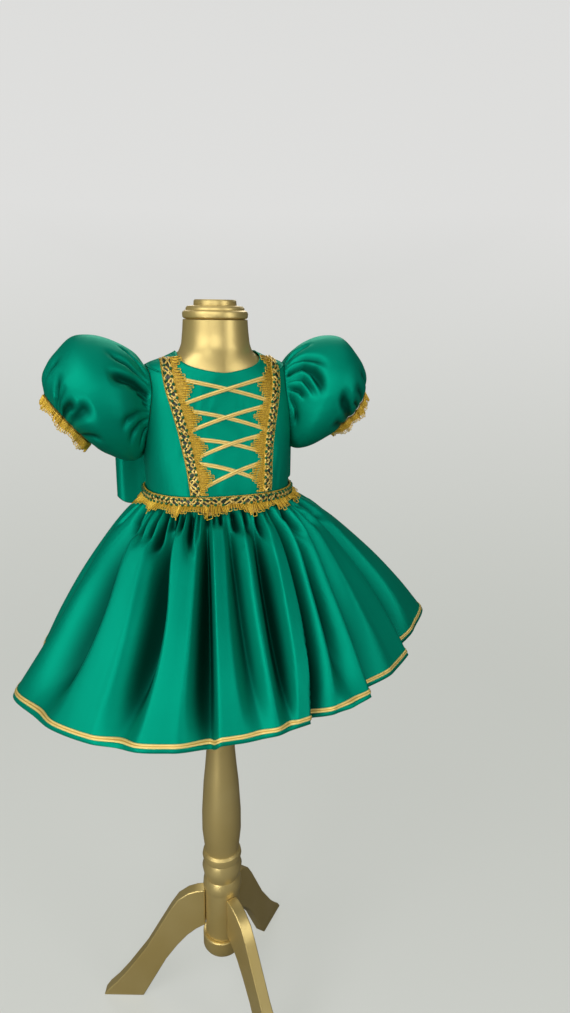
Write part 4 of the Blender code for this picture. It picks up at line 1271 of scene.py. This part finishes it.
def build_braid(name, trim, length):
    """A dark ground, painted shade for the gaps between the cords, with pale cords plaited over it and two
    rows of green beads.
    """
    def ground(u, v):
        return trim(u, BRAID_WIDTH * (0.06 + 0.88 * v), np.full_like(u, BRAID_GROUND_HEIGHT))

    base = cloth(
        name + "_ground", int(length / 0.002), 4, ground, BRAID_SHADE_GROUND, wall=BRAID_WALL,
        size=(length, BRAID_WIDTH))
    cords(name + "_plait", braid_paths(trim, length), PLAIT_RADIUS, BRAID)
    cords(name + "_picots", picot_paths(trim, length), PICOT_RADIUS, LACE_GOLD)
    count = int(3.0 * length / BRAID_PERIOD) - 1
    chance = np.random.default_rng(count)
    centres = []
    for side, first_deg in ((1.0, 150.0), (-1.0, 330.0)):
        periods = (first_deg / 360.0 + np.arange(count) / 3.0) % (length / BRAID_PERIOD)
        along = periods * BRAID_PERIOD / length
        across = BRAID_WIDTH / 2.0 + side * (
            0.27 * BRAID_WIDTH + chance.uniform(-0.0003, 0.0003, count))
        centres.append(trim(along, across, np.full(count, BEAD_HEIGHT)))
    beads(name + "_green_beads", np.concatenate(centres), BEAD_RADIUS, BRAID_DARK)


def build_front_strips():
    length = STRIP_STATIONS[-1][0] - STRIP_STATIONS[0][0]

    def height_at(along):
        return STRIP_STATIONS[0][0] + length * along

    def phase_at(along):
        return (STRIP_TOP_NOTCH_Z - height_at(along)) / STRIP_PITCH

    def notch(along):
        return reading(STRIP_STATIONS, height_at(along), 2)

    for name, hand in (("left", -1.0), ("right", 1.0)):
        trim = strip_trim(hand)
        base = build_lace(
            "lace_strip_" + name + "_gold", trim, length, length / STRIP_PITCH, phase_at, notch,
            LACE_TIP, LACE_UNDER_BRAID)
        build_braid("braid_strip_" + name, trim, length)
        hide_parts("lace_strip_" + name)


def build_waist_lace():
    base = build_lace(
        "lace_waist_gold", waist_trim, WAIST_LACE_LENGTH, WAIST_SCALLOPS,
        lambda along: along * WAIST_SCALLOPS, lambda along: WAIST_NOTCH, LACE_TIP, LACE_UNDER_BRAID)
    build_braid("braid_waist", waist_trim, WAIST_LACE_LENGTH)
    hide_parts("waist_lace")


def build_cuff_laces():
    for name, hand in (("left", -1.0), ("right", 1.0)):
        base = build_lace(
            "lace_cuff_" + name + "_gold", cuff_trim(hand), CUFF_LACE_LENGTH, CUFF_SCALLOPS,
            lambda along: along * CUFF_SCALLOPS, lambda along: CUFF_NOTCH, CUFF_TIP, CUFF_BAND)
        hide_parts("cuff_lace_" + name)


# Ribbon lacing

def strip_inner_edge(z):
    outer_x = reading(STRIP_STATIONS, z, 1)
    width = reading(STRIP_STATIONS, z, 2)
    return outer_x - width - LACE_TIP * scallop((STRIP_TOP_NOTCH_Z - z) / STRIP_PITCH)


def build_lacing(name, left_z, right_z, over):
    left_x = -float(strip_inner_edge(np.array([left_z]))[0]) - 0.004
    right_x = float(strip_inner_edge(np.array([right_z]))[0]) + 0.004

    def place(u, v):
        x = left_x + (right_x - left_x) * u
        arch = LACING_ARCH * 4.0 * u * (1.0 - u)
        z = left_z + (right_z - left_z) * u + arch + LACING_WIDTH * (v - 0.5)
        bump = 1.0 - smooth_share((np.abs(u - 0.5) - 0.06) / 0.16)
        crown = 0.00025 * (1.0 - (2.0 * v - 1.0) ** 2)
        return front_trim_point(x, z, BODICE_OUT + 0.0006 + crown + over * bump * 0.0008)

    band = cloth("ribbon_" + name, 60, 4, place, RIBBON, wall=0.0004, size=(0.07, LACING_WIDTH))
    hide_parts(name)


# Bow at the centre back

def bow_loop_path(share, half_width):
    """Plan of a loop: out along the far side, round the fold and back along the near side."""
    start_x = 0.0015
    run = half_width - BOW_FOLD_RADIUS
    swing = math.pi * (0.5 - (share - 0.44) / 0.12)
    middle = (BOW_LOOP_DEPTH_FAR - BOW_LOOP_DEPTH_NEAR) / 2.0
    half_depth = (BOW_LOOP_DEPTH_FAR + BOW_LOOP_DEPTH_NEAR) / 2.0
    part = np.minimum(share, 1.0 - share) / 0.44
    full = np.where(share < 0.5, BOW_LOOP_DEPTH_FAR, BOW_LOOP_DEPTH_NEAR)
    depth = BOW_PINCH_HALF_DEPTH + (full - BOW_PINCH_HALF_DEPTH) * np.sin(
        math.pi * 0.5 * np.minimum(part, 1.0))
    in_fold = (share >= 0.44) & (share <= 0.56)
    x = np.where(in_fold, run + BOW_FOLD_RADIUS * np.cos(swing), start_x + (run - start_x) * part)
    y = np.where(in_fold, middle + half_depth * np.sin(swing), np.where(share < 0.5, depth, -depth))
    return x, y


def build_bow():
    for name, hand, half_width, middle_z, end_half_height in BOW_LOOPS:
        def place(u, v):
            up = 2.0 * v - 1.0
            x, depth = bow_loop_path(0.004 + 0.992 * u, half_width)
            grown = np.clip((x - 0.020) / (half_width - 0.040), 0.0, 1.0)
            half_height = BOW_PINCH_HALF_HEIGHT + (end_half_height - BOW_PINCH_HALF_HEIGHT) * grown ** 1.5
            corner = np.maximum(0.0, x - (half_width - 0.018)) / 0.018
            half_height = half_height * (1.0 - 0.14 * corner * corner)
            away = smooth_share((x - 0.015) / 0.08)
            z = BOW_Z + (middle_z - BOW_Z) * away + half_height * up
            pleat = 0.0011 * np.cos(3.0 * math.pi * up) * smooth_share((x - 0.018) / 0.02)
            pleat = pleat * (1.0 - smooth_share((x - 0.045) / 0.05))
            lean = BOW_LEAN * (z - BOW_Z) * (1.0 - away)
            return stacked(hand * x, BOW_Y + lean + BOW_SWING_BACK * away + depth + pleat, z)

        loop = cloth("satin_" + name, 140, 60, place, SATIN, size=(0.25, 0.12), outward=-hand)
        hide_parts(name)


def build_knot():
    def place(u, v):
        turn = 2.0 * math.pi * u
        waist = 1.0 - KNOT_WAIST * np.cos(2.0 * math.pi * (v - 0.5))
        y = KNOT_HALF_DEPTH * signed_power(np.cos(turn), 0.6)
        z = KNOT_HALF_HEIGHT * waist * signed_power(np.sin(turn), 0.6)
        x = KNOT_HALF_WIDTH * (2.0 * v - 1.0)
        return stacked(x, BOW_Y + BOW_LEAN * z + y, BOW_Z + z)

    knot = cloth("satin_bow_knot", 96, 20, place, SATIN, closed=True, size=(0.1, 0.022), wall=0.0012)
    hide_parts("bow_knot")


# Form and stand

def build_form():
    def place(u, v):
        z = FORM_STATIONS[0][0] + (FORM_STATIONS[-1][0] - FORM_STATIONS[0][0]) * v
        return body_surface(2.0 * math.pi * u, z)

    torso = cloth("painted_form_torso", 128, 140, place, PAINT, closed=True, wall=0.0)
    bm = bmesh.new()
    bm.from_mesh(torso.data)
    bmesh.ops.holes_fill(bm, edges=bm.edges[:], sides=0)
    bmesh.ops.recalc_face_normals(bm, faces=bm.faces[:])
    bm.to_mesh(torso.data)
    bm.free()
    torso.data.shade_smooth()
    torso.data.set_sharp_from_angle(angle=math.radians(40.0))
    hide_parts("form_torso")


def build_stand():
    turned("painted_neck_cap", CAP_PROFILE, PAINT, "neck_cap")
    turned("painted_column", COLUMN_PROFILE, PAINT, "column")
    turned("painted_column_base", BASE_PROFILE, PAINT, "column_base")
    for number in (1, 2, 3):
        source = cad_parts["leg_%d" % number]
        bm = bmesh.new()
        bm.from_mesh(source.data)
        bmesh.ops.remove_doubles(bm, verts=bm.verts[:], dist=0.00001)
        bmesh.ops.dissolve_limit(bm, angle_limit=math.radians(3.0), verts=bm.verts[:], edges=bm.edges[:])
        mesh = bpy.data.meshes.new("painted_leg_%d" % number)
        bm.to_mesh(mesh)
        bm.free()
        leg = add_object("painted_leg_%d" % number, mesh, PAINT)
        bevel = leg.modifiers.new("soft_edges", "BEVEL")
        bevel.width = LEG_EDGE_BEVEL
        bevel.segments = 3
        bevel.limit_method = "ANGLE"
        bevel.angle_limit = math.radians(50.0)
        mesh.shade_smooth()
        mesh.set_sharp_from_angle(angle=math.radians(40.0))
        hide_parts("leg_%d" % number)


# Stage, light and camera

def upward_glow(tree):
    """Painted light: the paper's glow for the camera, paler the higher it is on the wall."""
    split = node(tree, "SeparateXYZ", {}, {}, {"Vector": object_place(tree)})
    height = mapped(tree, split.outputs["Z"], {"From Max": STAGE_GLOW_TOP})
    mix = node(
        tree, "Mix", {"data_type": "RGBA"}, {"A": STAGE_GLOW_LOW, "B": STAGE_GLOW_HIGH}, {"Factor": height})
    return mix.outputs["Result"]


def build_stage():
    """A round pale floor that rises in a curve into a wall on every side."""
    profile = [(0.02, 0.0), (STAGE_FLOOR_RADIUS, 0.0)]
    for step in range(1, 17):
        swing = math.pi / 2.0 * step / 16.0
        radius = STAGE_FLOOR_RADIUS + STAGE_BEND * math.sin(swing)
        profile.append((radius, STAGE_BEND - STAGE_BEND * math.cos(swing)))
    profile.append((STAGE_FLOOR_RADIUS + STAGE_BEND, STAGE_HEIGHT))
    bm = bmesh.new()
    verts = [bm.verts.new((radius, 0.0, z)) for radius, z in profile]
    edges = [bm.edges.new(pair) for pair in zip(verts, verts[1:])]
    bmesh.ops.spin(
        bm, geom=verts + edges, cent=(0.0, 0.0, 0.0), axis=(0.0, 0.0, 1.0),
        angle=2.0 * math.pi, steps=96, use_merge=True,
    )
    bmesh.ops.holes_fill(bm, edges=[edge for edge in bm.edges if edge.is_boundary], sides=97)
    for face in bm.faces:
        face.normal_update()
        middle = face.calc_center_median()
        if face.normal.dot(Vector((0.0, 0.0, 1.2)) - middle) < 0.0:
            face.normal_flip()
    mesh = smooth_mesh(bm, "backdrop")
    item = bpy.data.objects.new("backdrop", mesh)
    bpy.context.scene.collection.objects.link(item)
    material = bpy.data.materials.new("backdrop_paper")
    material.use_nodes = True
    tree = material.node_tree
    shader = tree.nodes["Principled BSDF"]
    shader.inputs["Roughness"].default_value = 0.9
    shader.inputs["Specular IOR Level"].default_value = 0.1
    # Painted light: the camera sees paler paper with a glow, while light bouncing off the paper finds it dim,
    # with a faint glow.
    seen = node(tree, "LightPath").outputs["Is Camera Ray"]
    shade = node(
        tree, "Mix", {"data_type": "RGBA"}, {"A": STAGE_DIM, "B": STAGE_PALE}, {"Factor": seen})
    tree.links.new(shade.outputs["Result"], shader.inputs["Base Color"])
    glow = node(
        tree, "Mix", {"data_type": "RGBA"}, {"A": STAGE_GLOW_DIM}, {"Factor": seen, "B": upward_glow(tree)})
    tree.links.new(glow.outputs["Result"], shader.inputs["Emission Color"])
    shader.inputs["Emission Strength"].default_value = 1.0
    mesh.materials.append(material)


def add_light(name, place, target, size, power):
    light = bpy.data.lights.new(name, "AREA")
    light.shape = "RECTANGLE"
    light.size, light.size_y = size
    light.energy = power
    item = bpy.data.objects.new(name, light)
    item.location = place
    item.rotation_euler = (Vector(target) - Vector(place)).to_track_quat("-Z", "Y").to_euler()
    item.visible_camera = False
    bpy.context.scene.collection.objects.link(item)


def light_scene():
    world = bpy.data.worlds.new("soft_room")
    world.use_nodes = True
    background = world.node_tree.nodes["Background"]
    background.inputs["Color"].default_value = (0.93, 0.96, 0.95, 1.0)
    background.inputs["Strength"].default_value = ROOM_STRENGTH
    bpy.context.scene.world = world
    bpy.context.scene.view_settings.view_transform = "Standard"
    for name, place, target, size, power in LIGHTS:
        add_light(name, place, target, size, power)


def add_camera():
    camera = bpy.data.cameras.new("photo_view")
    camera.lens = CAMERA_LENS_MM
    camera.sensor_width = 36.0
    item = bpy.data.objects.new("photo_view", camera)
    turn = Matrix.Rotation(math.radians(CAMERA_TURN_DEG), 4, "Z")
    pitch = Matrix.Rotation(math.radians(90.0 - CAMERA_PITCH_DEG), 4, "X")
    roll = Matrix.Rotation(math.radians(CAMERA_ROLL_DEG), 4, "Z")
    item.matrix_world = Matrix.Translation(CAMERA_PLACE) @ turn @ pitch @ roll
    bpy.context.scene.collection.objects.link(item)
    bpy.context.scene.camera = item


build_form()
build_stand()
build_bodice()
build_sleeve("left", -1.0)
build_sleeve("right", 1.0)
build_skirt()
build_hem_ribbon()
build_front_strips()
build_waist_lace()
build_cuff_laces()
for ribbon_row in LACING_RIBBONS:
    build_lacing(*ribbon_row)
build_knot()
build_bow()
build_stage()
light_scene()
add_camera()
